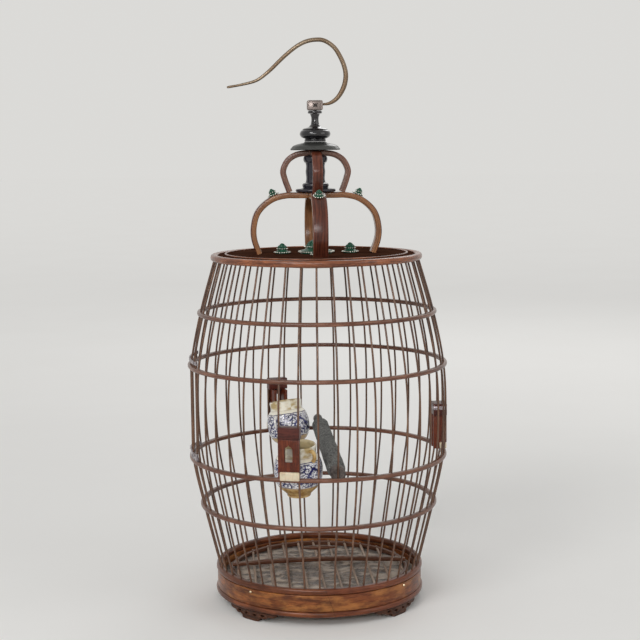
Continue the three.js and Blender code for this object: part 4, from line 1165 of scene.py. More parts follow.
class CAGE_OT_crown(CagePiece, bpy.types.Operator):
    """Make the crown's bent strips and the turned baluster between them"""
    bl_idname = "cage.crown"
    bl_label = "Crown"

    def make(self):
        tones = colours()
        # Painted light: each strip's inner face and edges take the paler colours, as if lit by the front lamp, and its
        # outer face the darker outer ones.
        lower = material("crown_lower_wood", varnished_wood, tones.crown_side, srgb(104, 66, 42), "run",
                         mottle=0.3, coat=0.5, wear=0.6, outer=(tones.crown_front, srgb(50, 22, 15)))
        upper = material("crown_upper_wood", varnished_wood, tones.crown_upper, srgb(86, 58, 48), "run",
                         mottle=0.3, coat=0.5, wear=0.6, outer=(tones.crown_upper_front, srgb(58, 26, 18)))
        foot_z = board_top / MM
        upper_z = high("lower_arch_y").z / MM
        plan = (
            ("lower_arch_x", crossing_strip, LOWER_LINE, foot_z, 19 * MM, lower),
            ("lower_arch_y", lapping_strip, LOWER_LINE, foot_z, 19 * MM, lower),
            ("upper_arch_x", crossing_strip, UPPER_LINE, upper_z, 13 * MM, upper),
            ("upper_arch_y", lapping_strip, UPPER_LINE, upper_z, 13 * MM, upper),
        )
        for node, build, places, start, strip, wood in plan:
            bm = bmesh.new()
            build(bm, places, start, strip)
            finish_piece(f"{node}_strip", bm, wood, "cage", "crown_wood", node)
        bottom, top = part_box("crown_baluster")
        z0, z1 = bottom.z / MM, top.z / MM
        bm = bmesh.new()
        line = profile_line(
            [(0, z0), (23.4, z0)],
            [(25.2, z0 + 0.5), (26, z0 + 2.2), (25, z0 + 4)],
            [(20, z0 + 4.5), (17.4, z0 + 5.2)],
            [(16.2, z0 + 6), (17.2, z0 + 8.2), (16.4, z0 + 10.6), (14.2, z0 + 11.6)],
            [(12.8, z0 + 12.2), (12, z0 + 17), (12.6, z0 + 26), (12, z1 - 14), (12.8, z1 - 10)],
            [(14.2, z1 - 9.4), (15.4, z1 - 6.6), (15.2, z1 - 3), (14, z1 - 1.4)],
            [(12.4, z1), (0, z1)])
        spun(bm, line, 48, closed=False)
        slate = material("baluster_black", gloss_black, srgb(40, 40, 48), coat=0.35)
        finish_piece("crown_baluster_turned", bm, slate, "cage", "ebony", "crown_baluster")


class CAGE_OT_finial(CagePiece, bpy.types.Operator):
    """Make the domed flange, the black finial and its collar"""
    bl_idname = "cage.finial"
    bl_label = "Finial"

    def make(self):
        bottom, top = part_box("flange")
        z0, z1, r = bottom.z / MM, top.z / MM, top.x / MM
        bm = bmesh.new()
        line = profile_line([(0, z0), (r - 1.4, z0)], [(r - 0.4, z0 + 0.4), (r, z0 + 1.3), (r - 0.8, z0 + 2.4)],
                            [(r - 1.4, z0 + 2.9), (29, z0 + 4.9), (25, z0 + 6.9), (19.5, z0 + 8.4), (15, z0 + 9.2)],
                            [(13.8, z1), (0, z1)])
        spun(bm, line, 64, closed=False)
        patina = material("flange_patina", aged_metal, srgb(62, 63, 60), srgb(26, 26, 26), 0.26,
                          metallic=0.2, amount=0.8, size=60.0)
        finish_piece("flange_dome", bm, patina, "cage", "patina", "flange")
        bottom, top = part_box("finial")
        z0, r = bottom.z / MM, top.x / MM
        neck_z = z0 + 4 + 15.7
        seat = neck_z + 15.3
        bm = bmesh.new()
        line = profile_line(
            [(0, z0), (13.2, z0)], [(13.8, z0 + 0.8), (13.8, z0 + 2.2), (13, z0 + 3.3)],
            [(r * 0.74, z0 + 3.7), (r * 0.93, z0 + 5.4), (r * 1.04, z0 + 9.2), (r * 0.98, z0 + 13), (r * 0.84, z0 + 15)],
            [(r * 0.86, z0 + 15.5), (r * 0.82, z0 + 16.1)],
            [(r * 0.7, z0 + 17), (r * 0.45, z0 + 18.4), (6.2, neck_z + 1.2)],
            [(5.4, neck_z + 2), (4.7, neck_z + 7), (4.9, seat - 4), (6.2, seat - 0.4)],
            [(6.2, seat), (2.2, seat)], [(2.2, top.z / MM), (0, top.z / MM)])
        spun(bm, line, 56, closed=False)
        finish_piece("finial_turned", bm, black_wood(), "cage", "ebony", "finial", crease=30)
        bottom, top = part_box("finial_collar")
        bm = bmesh.new()
        spun(bm, rounded_section(2.8 * MM, top.x + 1.4 * MM, bottom.z, top.z, 1.5 * MM), 48)
        finish_piece("finial_collar_ring", bm, black_wood(), "cage", "ebony", "finial_collar")


# The hook's line: shares of its loop's reach and rise, then of its tip's reach and drop from the top
HOOK_LOOP = (
    (0.47, 0.015), (0.71, 0.09), (0.92, 0.25), (1, 0.405), (0.98, 0.54), (0.85, 0.715),
    (0.62, 0.89), (0.3, 0.99), (0.02, 1), (-0.25, 0.975), (-0.53, 0.91), (-0.94, 0.755),
)
HOOK_TAIL = ((0.53, 0.32), (0.66, 0.145), (0.82, 0.06), (1, 0))
HOOK_RADIUS = 3.2 * MM
# The wire's thickness along its line: share of the way, and share of its full thickness
HOOK_TAPER = ((0, 0.38), (0.08, 0.5), (0.16, 0.82), (0.24, 1), (0.42, 0.9), (0.66, 0.84), (0.8, 0.76),
              (0.92, 0.56), (0.975, 0.46), (0.985, 0.56), (1, 0.38))
HOOK_ENTRY_REACH = 5.2 * MM
HOOK_ENTRY_HEIGHT = 7.6 * MM
HOOK_TIP_RISE = 22.1 * MM


def hook_line():
    """The wire's middle line, from inside the block over the top to the tip."""
    entry = low("hook_block").z + HOOK_ENTRY_HEIGHT
    reach = high("hook_wire").x - HOOK_RADIUS
    rise = high("hook_wire").z - HOOK_RADIUS - entry
    tip = low("hook_wire").x - 1.8 * MM
    points = [(HOOK_ENTRY_REACH, 0), (high("hook_block").x + 0.3 * MM, 0)]
    points += [(x * reach, z * rise) for x, z in HOOK_LOOP]
    points += [(x * tip, HOOK_TIP_RISE + z * (rise - HOOK_TIP_RISE)) for x, z in HOOK_TAIL]
    return smooth_line([Vector((x, 0, entry + z)) for x, z in points], 5)


class CAGE_OT_hook(CagePiece, bpy.types.Operator):
    """Make the brass hook and the metal block that it swivels in"""
    bl_idname = "cage.hook"
    bl_label = "Hook"

    def make(self):
        tones = colours()
        bottom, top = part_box("hook_block")

        def taper(share):
            """Thin where it leaves the block, fullest in the loop, with a small knob at the tip."""
            for (before, thick), (after, next_thick) in zip(HOOK_TAPER, HOOK_TAPER[1:]):
                if share <= after:
                    return thick + (next_thick - thick) * (share - before) / (after - before)
            return HOOK_TAPER[-1][1]

        frames = section_frames(hook_line(), Vector((0, 1, 0)), taper)
        bm = bmesh.new()
        swept(bm, round_face(bm, HOOK_RADIUS, 14, frames[0]), frames)
        brass = material("hook_brass", aged_metal, tones.brass, srgb(104, 80, 60), 0.33, amount=0.6, size=26.0,
                         wear=0.0, scratch=0.0, fineness=0.6)
        finish_piece("hook_rod", bm, brass, "hook", "brass", "hook_wire")
        bm = worn_copy("hook_block", 0.7 * MM)
        grey = material("block_metal", aged_metal, srgb(140, 129, 124), srgb(84, 74, 72), 0.34, amount=0.7, size=80.0)
        dark = material("block_ornament", aged_metal, srgb(70, 62, 58), srgb(34, 30, 28), 0.5,
                        metallic=0.3, size=150.0)
        finish_piece("hook_block_body", bm, grey, "hook", "aged_metal", "hook_block")
        flower = bmesh.new()
        border = bmesh.new()
        middle = (bottom.z + top.z) / 2
        for side in (-1, 1):
            face_y = side * (top.y - 0.35 * MM)
            for i in range(8):
                long, wide = ((3.2, 0.75), (4.7, 0.95))[i % 2]
                petal = (Matrix.Translation((0, face_y, middle)) @ Matrix.Diagonal((1, 1, 0.85, 1))
                         @ Matrix.Rotation(i * math.pi / 4, 4, "Y") @ Matrix.Translation((long * 0.55 * MM, 0, 0))
                         @ Matrix.Diagonal((long * 0.45 * MM, 1.2 * MM, wide * MM, 1)))
                bmesh.ops.create_icosphere(flower, subdivisions=2, radius=1, matrix=petal)
            bead(flower, Vector((0, face_y, middle)), 1.5 * MM)
            corners = [Vector((x * MM, face_y, middle + z * MM)) for x, z in
                       ((-8.4, -5.2), (8.4, -5.2), (8.4, 5.2), (-8.4, 5.2))]
            for start, end in zip(corners, corners[1:] + corners[:1]):
                rod(border, start, end, 0.7 * MM, 8)
                bead(border, start, 0.7 * MM)
        finish_piece("hook_block_flower", flower, dark, "hook", "aged_metal", merge=False)
        finish_piece("hook_block_border", border, grey, "hook", "aged_metal", merge=False)


# How much taller the rosettes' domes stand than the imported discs, on the board and on the shoulders
ROSETTE_RISE = {"board": 3.1, "shoulder": 1.9}


class CAGE_OT_rosettes(CagePiece, bpy.types.Operator):
    """Make the silver and enamel rosettes on the board and on the crown's shoulders"""
    bl_idname = "cage.rosettes"
    bl_label = "Rosettes"

    def make(self):
        tones = colours()
        green = material("rosette_enamel", enamel, tones.emerald)
        wheres = ("right", "back", "left", "front")
        nodes = ["rosette_centre"]
        nodes += [f"rosette_{level}_{where}" for level in ("board", "shoulder") for where in wheres]
        for node in nodes:
            bottom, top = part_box(node)
            centre = (bottom + top) / 2
            reach = (top.x - bottom.x) / 2
            height = (top.z - bottom.z) * ROSETTE_RISE["shoulder" if "shoulder" in node else "board"]
            place = Matrix.Translation((centre.x, centre.y, bottom.z))
            if "shoulder" in node:
                place = (turned_by(math.atan2(centre.y, centre.x))
                         @ Matrix.Translation((SHOULDER_REACH * MM, 0, board_top + SHOULDER_RISE * MM))
                         @ Matrix.Rotation(math.radians(SHOULDER_SLOPE), 4, "Y"))
            petals = 12 if node == "rosette_centre" else 8
            setting = bmesh.new()
            stones = bmesh.new()
            r, h = reach / MM, height / MM
            steps = profile_line([(0, 0), (r * 0.8, 0)], [(r * 0.78, h * 0.2), (r * 0.6, h * 0.26)],
                                 [(r * 0.5, h * 0.36), (r * 0.46, h * 0.52), (0, h * 0.6)])
            spun(stones, steps, 24, closed=False)
            for share, level, size in ((0.89, 0.12, 1), (0.6, 0.46, 0.8)):
                count = round(2 * math.pi * reach * share / (2.9 * shape().bead_radius))
                for i in range(count):
                    turn = (i + size / 2) * 2 * math.pi / count
                    bead(setting, about(turn, reach * share, height * level), shape().bead_radius * size)
            for i in range(petals):
                leaf = (turned_by(i * 2 * math.pi / petals) @ Matrix.Translation((reach * 0.36, 0, height * 0.62))
                        @ Matrix.Rotation(math.radians(50), 4, "Y")
                        @ Matrix.Diagonal((reach * 0.24, reach * 1.2 / petals, height * 0.12, 1)))
                bmesh.ops.create_icosphere(stones, subdivisions=2, radius=1, matrix=leaf)
            bead(stones, Vector((0, 0, height * 0.5)), reach * 0.4, height * 0.48, detail=3)
            for bm in (setting, stones):
                bmesh.ops.transform(bm, matrix=place, verts=bm.verts)
            finish_piece(f"{node}_setting", setting, silver(), "cage", "silver", node, crease=80, merge=False)
            finish_piece(f"{node}_enamel", stones, green, "cage", "silver", merge=False)


def arc_frames(reach, start, end, height, steps):
    frames = []
    for i in range(steps + 1):
        turn = start + (end - start) * i / steps
        out = Vector((math.cos(turn), math.sin(turn), 0))
        along = Vector((-math.sin(turn), math.cos(turn), 0))
        matrix = Matrix((out, Vector((0, 0, 1)), -along)).transposed().to_4x4()
        frames.append(Matrix.Translation(out * reach + Vector((0, 0, height))) @ matrix)
    return frames


class CAGE_OT_door(CagePiece, bpy.types.Operator):
    """Make the sliding door: its bars, its pierced white-metal rail and its head rail"""
    bl_idname = "cage.door"
    bl_label = "Door"

    def make(self):
        bottom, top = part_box("door_frame")
        spread = DOOR_PITCHES / 2 * PITCH - 2.4 * MM / door_reach
        side = [(0, 9.6), (10, 9.4), (20, 8.8), (29, 7.4), (37, 6), (45, 5.4), (49.5, 6), (51.6, 8.2), (53, 9.4)]
        half = [Vector((s * MM, 0, z * MM)) for s, z in [*side, (54, 8.8), (54, 0)]]
        outline = half + [Vector((-p.x, 0, p.z)) for p in reversed(half[1:])]
        places = ((11.7, 5.2, 4.4), (32.6, 3.7, 3.4))
        openings = [leaf_opening(way * s, z, reach) for way in (-1, 1) for s, z, reach in places]
        bm = bmesh.new()
        pierced_plate(bm, [outline, *openings], Vector((0, -1.8 * MM, 0)))
        soften(bm, 0.3 * MM)
        cut_across(bm, 52)
        outer = door_reach + 2.6 * MM
        for vert in bm.verts:
            vert.co = about(math.pi + vert.co.x / outer, outer + vert.co.y, bottom.z + vert.co.z)
        frames = arc_frames(door_reach, math.pi - spread, math.pi + spread, bottom.z + 2.2 * MM, 24)
        swept(bm, strip_face(bm, 4 * MM, 4.4 * MM, 1 * MM, frames[0]), frames)
        for way in (-1, 1):
            bead(bm, about(math.pi + way * 52.6 * MM / outer, outer - 0.6 * MM, bottom.z + 8 * MM), 1.5 * MM)
            bead(bm, about(math.pi + way * 6 * MM / outer, outer, bottom.z + 8.2 * MM), 1.3 * MM)
        finish_piece("door_rail", bm, white_metal(), "door", "white_metal", "door_frame", merge=False)
        bm = bmesh.new()
        for j in range(DOOR_PITCHES):
            turn = math.pi + (j - (DOOR_PITCHES - 1) / 2) * PITCH
            foot = about(turn, door_reach, bottom.z + 1 * MM)
            rod(bm, foot, about(turn, door_reach, top.z), shape().bar_thickness / 2, 10)
        finish_piece("door_bars", bm, bar_wood(), "door", "dark_bamboo")
        bottom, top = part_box("door_head")
        bm = bmesh.new()
        middle = (bottom.z + top.z) / 2
        frames = arc_frames(door_reach + 1.3 * MM, math.pi - spread, math.pi + spread, middle, 24)
        swept(bm, strip_face(bm, 2 * MM, top.z - bottom.z, 0.6 * MM, frames[0]), frames)
        finish_piece("door_head_rail", bm, white_metal(), "door", "white_metal", "door_head")


BRACKET_HALF = 13 * MM
BRACKET_PLATE = 2.2 * MM
BRACKET_CAP = 15.5 * MM
# Angle, reach of the face, depth of the cap, how far the bone stands out, how much taller it is, and
# where its second cheek stands. The front one's stands further out, so that the window shows the jar.
BRACKETS = {
    "front": (PITCH * (3 * BAR_COUNT / 4 - 2), 169.4, 12, 2.8, 0, -12.6),
    "back": (PITCH * (BAR_COUNT / 4 + 2), 169.4, 12, 2.8, 9, -9.7),
    "right": (0, 168.3, 17, 0, -3, -9.7),
}


def window_loop(face, foot):
    """The bracket's window with its ogee top."""
    side = [(4.8, 20.5), (4.8, 34.5), (4.5, 36.8), (3.3, 38.4), (1.7, 39), (0.8, 39.8)]
    loop = side + [(0, 41.6)] + [(-y, z) for y, z in reversed(side)]
    return [Vector((face, y * MM, foot + z * MM)) for y, z in loop]


class CAGE_OT_brackets(CagePiece, bpy.types.Operator):
    """Make the three jar brackets with their caps, windows and bone bars"""
    bl_idname = "cage.brackets"
    bl_label = "Brackets"

    def make(self):
        ivory = material("bracket_bone", polished_bone, colours().bone)
        bottom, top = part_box("jar_bracket_right")
        foot, half = bottom.z, BRACKET_HALF
        for where, (angle, reach, cap_depth, stand, taller, cheek) in BRACKETS.items():
            face = reach * MM
            back = bottom.x + 1.5 * MM if stand else face - 17 * MM
            head = top.z + taller * MM
            joint = head - BRACKET_CAP
            bone_top = foot + 8.8 * MM
            start = foot if stand else bone_top + 0.2 * MM
            body = bmesh.new()
            border = [Vector((face, y, z)) for y, z in ((half, start), (half, joint), (-half, joint), (-half, start))]
            window = window_loop(face, foot + taller * MM)
            pierced_plate(body, [border, window], Vector((-BRACKET_PLATE, 0, 0)))
            for side in (5.9 * MM, cheek * MM):
                slab(body, Vector((back, side, foot)),
                     Vector((face - BRACKET_PLATE + 0.2 * MM, side + 3.8 * MM, joint)))
            soften(body, 0.6 * MM)
            cap = bmesh.new()
            slab(cap, Vector((face - cap_depth * MM, -half - 0.4 * MM, joint)),
                 Vector((face + 0.4 * MM, half + 0.4 * MM, head)))
            soften(cap, 0.9 * MM, 3)
            bone = bmesh.new()
            if stand:
                slab(bone, Vector((face - 0.9 * MM, -10.6 * MM, foot - 2 * MM)),
                     Vector((face + stand * MM, 13.6 * MM, bone_top)))
            else:
                slab(bone, Vector((face - 9 * MM, -12.4 * MM, foot)), Vector((face, 12.4 * MM, bone_top)))
                strap = bmesh.new()
                slab(strap, Vector((face - 18 * MM, -half - 0.8 * MM, head - 8 * MM)),
                     Vector((face + 0.4 * MM, half + 0.8 * MM, head - 3 * MM)))
                soften(strap, 1 * MM)
                finish_piece("jar_bracket_right_strap", strap, white_metal(), "cage", "white_metal", merge=False)
            soften(bone, 1.5 * MM, 3)
            for name, bm, look, slot, nodes in (
                    (f"jar_bracket_{where}_body", body, red_wood(), "red_wood", (f"jar_bracket_{where}",)),
                    (f"jar_bracket_{where}_cap", cap, cap_wood(), "red_wood", ()),
                    (f"bracket_bone_{where}_bar", bone, ivory, "bone", (f"bracket_bone_{where}",))):
                bmesh.ops.rotate(bm, verts=bm.verts, cent=(0, 0, 0), matrix=Matrix.Rotation(angle, 3, "Z"))
                finish_piece(name, bm, look, "cage", slot, *nodes, crease=50, merge=False)


JAR_RADIUS = 30.4
JAR_HEIGHT = 65.0
JAR_SEAT = 28.5
# Height of the foot, lean to the wall, lean to the side, and share of the full girth
JARS = {
    "front": (163, 5, 0, 1),
    "back": (177, 9, -4.5, 0.96),
}
# Each lug's loop of distance and height, its half thickness, and its turn round the jar in degrees
LUGS = {
    "front": (((22.6, 60), (26.4, 60.4), (29.2, 56.6), (29.4, 52), (27.4, 48.4)), 2.5, 56),
    "back": (((27.4, 45), (32.4, 44.6), (35.4, 39.6), (34.6, 33), (28.6, 30)), 2, 130),
}


def unwrap_round(bm, height):
    """Writes how far round and how far up each corner lies as its surface coordinates."""
    layer = bm.loops.layers.uv.new("Round")
    for face in bm.faces:
        turns = [math.atan2(loop.vert.co.y, loop.vert.co.x) / (2 * math.pi) + 0.5 for loop in face.loops]
        wraps = max(turns) - min(turns) > 0.5
        for loop, turn in zip(face.loops, turns):
            on_axis = loop.vert.co.xy.length < 1e-6
            middle = sum(turns) / len(turns)
            share = middle if on_axis else turn + (1 if wraps and turn < 0.5 else 0)
            loop[layer].uv = (share, loop.vert.co.z / height)


class CAGE_OT_jars(CagePiece, bpy.types.Operator):
    """Make the two blue-and-white jars with their amber feet and lugs"""
    bl_idname = "cage.jars"
    bl_label = "Jars"

    def make(self):
        tones = colours()
        # Painted shade: the glaze inside the pot is darker than outside, standing in for the shade inside the jar.
        inside = material("jar_inside", plain_glaze, srgb(206, 188, 146), srgb(124, 100, 62), 70.0)
        lug_glaze = {"front": material("jar_lug_amber", plain_glaze, srgb(214, 178, 112), srgb(128, 84, 38)),
                     "back": material("jar_lug_blue", plain_glaze, srgb(238, 236, 232), srgb(128, 128, 168), 300.0)}
        painted = material("jar_glaze", painted_glaze, tones, 0.24, 0.49, 0.23)
        seat = low("jar_bracket_right").x - JAR_SEAT * MM
        r, h = JAR_RADIUS, JAR_HEIGHT
        for where, (foot_z, lean, sideways, girth) in JARS.items():
            bm = bmesh.new()
            outer = profile_line(
                [(0, 1.4), (11.5, 1.4)], [(12.2, 0.2), (14.6, 0)],
                [(15, 0.8), (15.3, 2.6), (19.4, 7), (25.4, 13), (29.3, 22), (r, 32.5), (29.2, 42),
                 (26.6, 48.4), (23.4, 52.2)],
                [(22.7, 53), (22.5, 56.4), (23, 61), (23.2, 63.4), (22, h)])
            inner = profile_line(
                [(20.8, 64.6), (20, 62), (20, 57), (20.8, 53.6), (24, 48.6), (26.8, 41.5), (27.8, 32.5),
                 (26.8, 22.6), (22.6, 14), (15, 7.4), (6, 5.2), (0, 4.8)])
            spun(bm, outer + inner, 56, closed=False)
            bmesh.ops.recalc_face_normals(bm, faces=bm.faces)
            unwrap_round(bm, h * MM)
            # Faces that look into the pot take the darker inside glaze, painted as shade.
            for face in bm.faces:
                middle = face.calc_center_median()
                reach = middle.xy.length
                inward = face.normal.xy.dot(middle.xy) < -1e-9 or (reach < 15 * MM and middle.z > 4 * MM)
                face.material_index = 1 if inward and middle.z > 4 * MM else 0
            lug = bmesh.new()
            loop, thick, turn = LUGS[where]
            line = smooth_line([Vector((reach * MM, 0, z * MM)) for reach, z in loop], 6)
            frames = section_frames(line, Vector((0, 1, 0)))
            swept(lug, round_face(lug, thick * MM, 10, frames[0]), frames)
            bmesh.ops.rotate(lug, verts=lug.verts, cent=(0, 0, 0),
                             matrix=Matrix.Rotation(math.radians(turn), 3, "Z"))
            place = (turned_by(BRACKETS[where][0]) @ Matrix.Translation((seat, 0, (foot_z + h / 2) * MM))
                     @ Matrix.Rotation(math.radians(sideways), 4, "X")
                     @ Matrix.Rotation(math.radians(lean), 4, "Y") @ Matrix.Translation((0, 0, -h / 2 * MM))
                     @ Matrix.Diagonal((girth, girth, 1, 1)))
            for made in (bm, lug):
                bmesh.ops.transform(made, matrix=place, verts=made.verts)
            body = f"{where}_jar"
            finish_piece(f"jar_{where}_pot", bm, [painted, inside], body, "porcelain", f"jar_{where}", crease=60)
            finish_piece(f"jar_{where}_lug", lug, lug_glaze[where], body, "porcelain", merge=False)


STUB_RADIUS = 9.4 * MM
SLEEVE_RADIUS = 11.2 * MM
TAIL_RADIUS = 6.4 * MM
PRONG_LENGTH = 12 * MM
PERCH_SLOPE = math.radians(1.0)


class CAGE_OT_perch(CagePiece, bpy.types.Operator):
    """Make the gritty perch"""
    bl_idname = "cage.perch"
    bl_label = "Perch"

    def make(self):
        bottom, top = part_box("perch")
        centre = (bottom + top) / 2
        half = (top.y - bottom.y) / 2
        front, back = -half + PRONG_LENGTH, half - PRONG_LENGTH
        line = [Vector((0, 0, front)), Vector((STUB_RADIUS - 0.2 * MM, 0, front)),
                Vector((STUB_RADIUS - 0.2 * MM, 0, front + 8 * MM))]
        start, end = front + 9 * MM, back - 34 * MM
        rings = 84
        for i in range(rings + 1):
            share = i / rings
            shoulder = min(1.0, i / 2, (rings - i) / 2)
            line.append(Vector((SLEEVE_RADIUS - 1.4 * MM * (1 - shoulder), 0, start + (end - start) * share)))
        line += [Vector((TAIL_RADIUS + 1.6 * MM, 0, end + 0.4 * MM)), Vector((TAIL_RADIUS + 1.2 * MM, 0, end + 8 * MM)),
                 Vector((TAIL_RADIUS - 0.2 * MM, 0, back - 2 * MM)), Vector((TAIL_RADIUS - 0.2 * MM, 0, back)),
                 Vector((0, 0, back))]
        bm = bmesh.new()
        spun(bm, line, 30, closed=False)
        for vert in bm.verts:
            if start <= vert.co.z <= end:
                rough = noise.noise(vert.co * 620) * 0.35 + noise.noise(vert.co * 150) * 0.5
                vert.co += Vector((vert.co.x, vert.co.y, 0)).normalized() * rough * MM
        prongs = bmesh.new()
        for tip, root, radius in ((-half, front + 2 * MM, STUB_RADIUS), (half, back - 2 * MM, TAIL_RADIUS)):
            way = 1 if tip > root else -1
            line = [Vector((r, 0, z)) for r, z in
                    ((0, root), (radius, root), (radius, tip - way * 1.6 * MM), (radius * 0.8, tip), (0, tip))]
            for side in (-1, 1):
                prong = bmesh.new()
                spun(prong, line, 24, closed=False)
                bmesh.ops.bisect_plane(prong, geom=everything(prong), plane_co=(side * 1.5 * MM, 0, 0),
                                       plane_no=(side, 0, 0), clear_inner=True)
                bmesh.ops.holes_fill(prong, edges=prong.edges, sides=0)
                part = bpy.data.meshes.new("prong")
                prong.to_mesh(part)
                prong.free()
                prongs.from_mesh(part)
                bpy.data.meshes.remove(part)
        matrix = Matrix.Translation(centre) @ Matrix.Rotation(PERCH_SLOPE - math.pi / 2, 4, "X")
        for made in (bm, prongs):
            bmesh.ops.transform(made, matrix=matrix, verts=made.verts)
        grit = material("perch_grit", coarse_grit, colours().grit)
        finish_piece("perch_sleeve", bm, grit, "cage", "perch_grit", "perch", crease=60)
        worn = material("perch_wood", varnished_wood, srgb(96, 88, 84), srgb(44, 38, 36), "y", mottle=0.5,
                        coat=0.0, wear=0.5, dust=0.2)
        finish_piece("perch_forks", prongs, worn, "cage", "perch_grit", merge=False)


class CAGE_OT_floor(CagePiece, bpy.types.Operator):
    """Make the floor board, the wrinkled cloth on it and the grille that lies over both"""
    bl_idname = "cage.floor"
    bl_label = "Floor"

    def make(self):
        self.board()
        self.cloth()
        self.grille()
        self.crossbar_and_handle()

    def board(self):
        bottom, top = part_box("floor_board")
        bm = bmesh.new()
        reach = top.x
        line = [Vector((0, 0, bottom.z)), Vector((reach, 0, bottom.z)), Vector((reach, 0, top.z)), Vector((0, 0, top.z))]
        spun(bm, line, 120, closed=False)
        pale = material("board_wood", varnished_wood, srgb(174, 138, 96), srgb(120, 84, 54), "y", mottle=0.3, coat=0.1, wear=0.2)
        finish_piece("floor_board_disc", bm, pale, "cage", "pale_wood", "floor_board")

    def cloth(self):
        bottom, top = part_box("floor_cloth")
        reach = top.x
        ring = low("floor_grille").z
        rings = 70
        bm = bmesh.new()
        line = [Vector((reach * i / rings, 0, bottom.z + 0.7 * MM)) for i in range(rings + 1)]
        spun(bm, line, 200, closed=False)
        wrinkle = shape().cloth_wrinkle
        for vert in bm.verts:
            place = vert.co * 21
            bend = Vector((noise.noise(place + Vector((3, 0, 0))), noise.noise(place + Vector((0, 7, 0))), 0)) * 0.55
            fold = 1 - abs(noise.noise(vert.co * 30 + bend)) * 3.2
            fine = 1 - abs(noise.noise(vert.co * 75 + bend * 2)) * 3
            lift = max(0.0, fold) ** 1.6 * 0.75 + max(0.0, fine) * 0.22
            distance = vert.co.xy.length
            free = min(1.0, max(0.0, (108 * MM - distance) / (14 * MM)))
            vert.co.z += lift * wrinkle * free
            vert.co.z = min(vert.co.z, ring - 0.3 * MM if distance > 108 * MM else ring + 1.4 * MM)
        bmesh.ops.recalc_face_normals(bm, faces=bm.faces)
        bmesh.ops.solidify(bm, geom=bm.faces[:], thickness=0.5 * MM)
        cotton = material("floor_cotton", plain_weave, colours().cloth)
        piece = finish_piece("floor_cloth_sheet", bm, cotton, "cage", "cloth", "floor_cloth", crease=80)

    def grille(self):
        bottom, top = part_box("floor_grille")
        outer = 117 * MM
        bm = bmesh.new()
        spun(bm, rounded_section(outer - 5 * MM, outer, bottom.z, top.z, 1.4 * MM), 120)
        finish_piece("grille_ring", bm, grille_wood("ring"), "grille", "red_wood", "floor_grille")
        bm = bmesh.new()
        count = 11
        pitch = 21.5 * MM
        level = bottom.z + (top.z - bottom.z) * 0.6
        for i in range(count):
            x = (i - (count - 1) / 2) * pitch
            reach = math.sqrt(outer ** 2 - x ** 2) + 5.4 * MM
            tilt = noise.noise(Vector((i * 3.7, 0, 0))) * 0.8 * MM
            rod(bm, Vector((x - tilt, -reach, level)), Vector((x + tilt, reach, level)), 1.7 * MM, 12)
        pale = material("stick_bamboo", varnished_wood, colours().stick, srgb(86, 64, 50), "y", mottle=0.4,
                        coat=0.2, wear=0.5, dust=0.25)
        finish_piece("grille_sticks", bm, pale, "grille", "dark_bamboo", merge=False)

    def crossbar_and_handle(self):
        bottom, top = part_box("grille_crossbar")
        reach = top.x
        bm = bmesh.new()
        line = []
        for i in range(-16, 17):
            share = i / 16
            line.append(Vector((reach * share, 0, bottom.z + 3.1 * MM + 4.3 * MM * (1 - share * share))))

        def taper(share):
            return 1 - 0.28 * (2 * share - 1) ** 4

        frames = section_frames(line, Vector((0, 1, 0)), taper)
        swept(bm, strip_face(bm, 7 * MM, 6.8 * MM, 1.6 * MM, frames[0]), frames)
        finish_piece("grille_bow", bm, grille_wood("x"), "grille", "red_wood", "grille_crossbar")
        bottom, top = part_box("grille_handle")
        bm = bmesh.new()
        axis = top.z - 3.1 * MM
        line = profile_line([(0, 0), (3.2, 0)], [(3, 0.8), (2.2, 3), (2, 6), (2.6, 9)], [(2.4, (axis - bottom.z) / MM), (0, (axis - bottom.z) / MM)])
        spun(bm, line, 20, closed=False)
        bmesh.ops.translate(bm, vec=(0, 0, bottom.z - 0.3 * MM), verts=bm.verts)
        grip = bmesh.new()
        half = top.x / MM
        line = profile_line([(0, -half), (1.1, -half)], [(1.3, 0.5 - half), (2.2, -half * 0.66), (3, -half * 0.28), (3.1, 0),
                            (3, half * 0.28), (2.2, half * 0.66), (1.3, half - 0.5)], [(1.1, half), (0, half)])
        spun(grip, line, 20, closed=False)
        matrix = Matrix.Translation((0, 0, axis)) @ Matrix.Rotation(math.pi / 2, 4, "Y")
        bmesh.ops.transform(grip, matrix=matrix, verts=grip.verts)
        finish_piece("grille_handle_stem", bm, bar_wood("up"), "grille", "dark_bamboo", "grille_handle")
        finish_piece("grille_handle_grip", grip, grille_wood("x"), "grille", "red_wood")


# The photograph's view: lens, place and tilt, worked out from the hoops' outlines
FOCAL_PIXELS = 1419.4
PICTURE_PIXELS = 640
CAMERA_DISTANCE = 1832 * MM
CAMERA_HEIGHT = 587 * MM
CAMERA_SIDE = 4 * MM
CAMERA_PITCH = math.radians(6.84)
CAMERA_ROLL = math.radians(-0.55)
CAGE_YAW = math.radians(4.3)
# How bright the floor and the room are far away, beyond the room's light, and how far the lamps reach
FAR_GLOW = 0.38
LAMP_SPREAD = 3.0


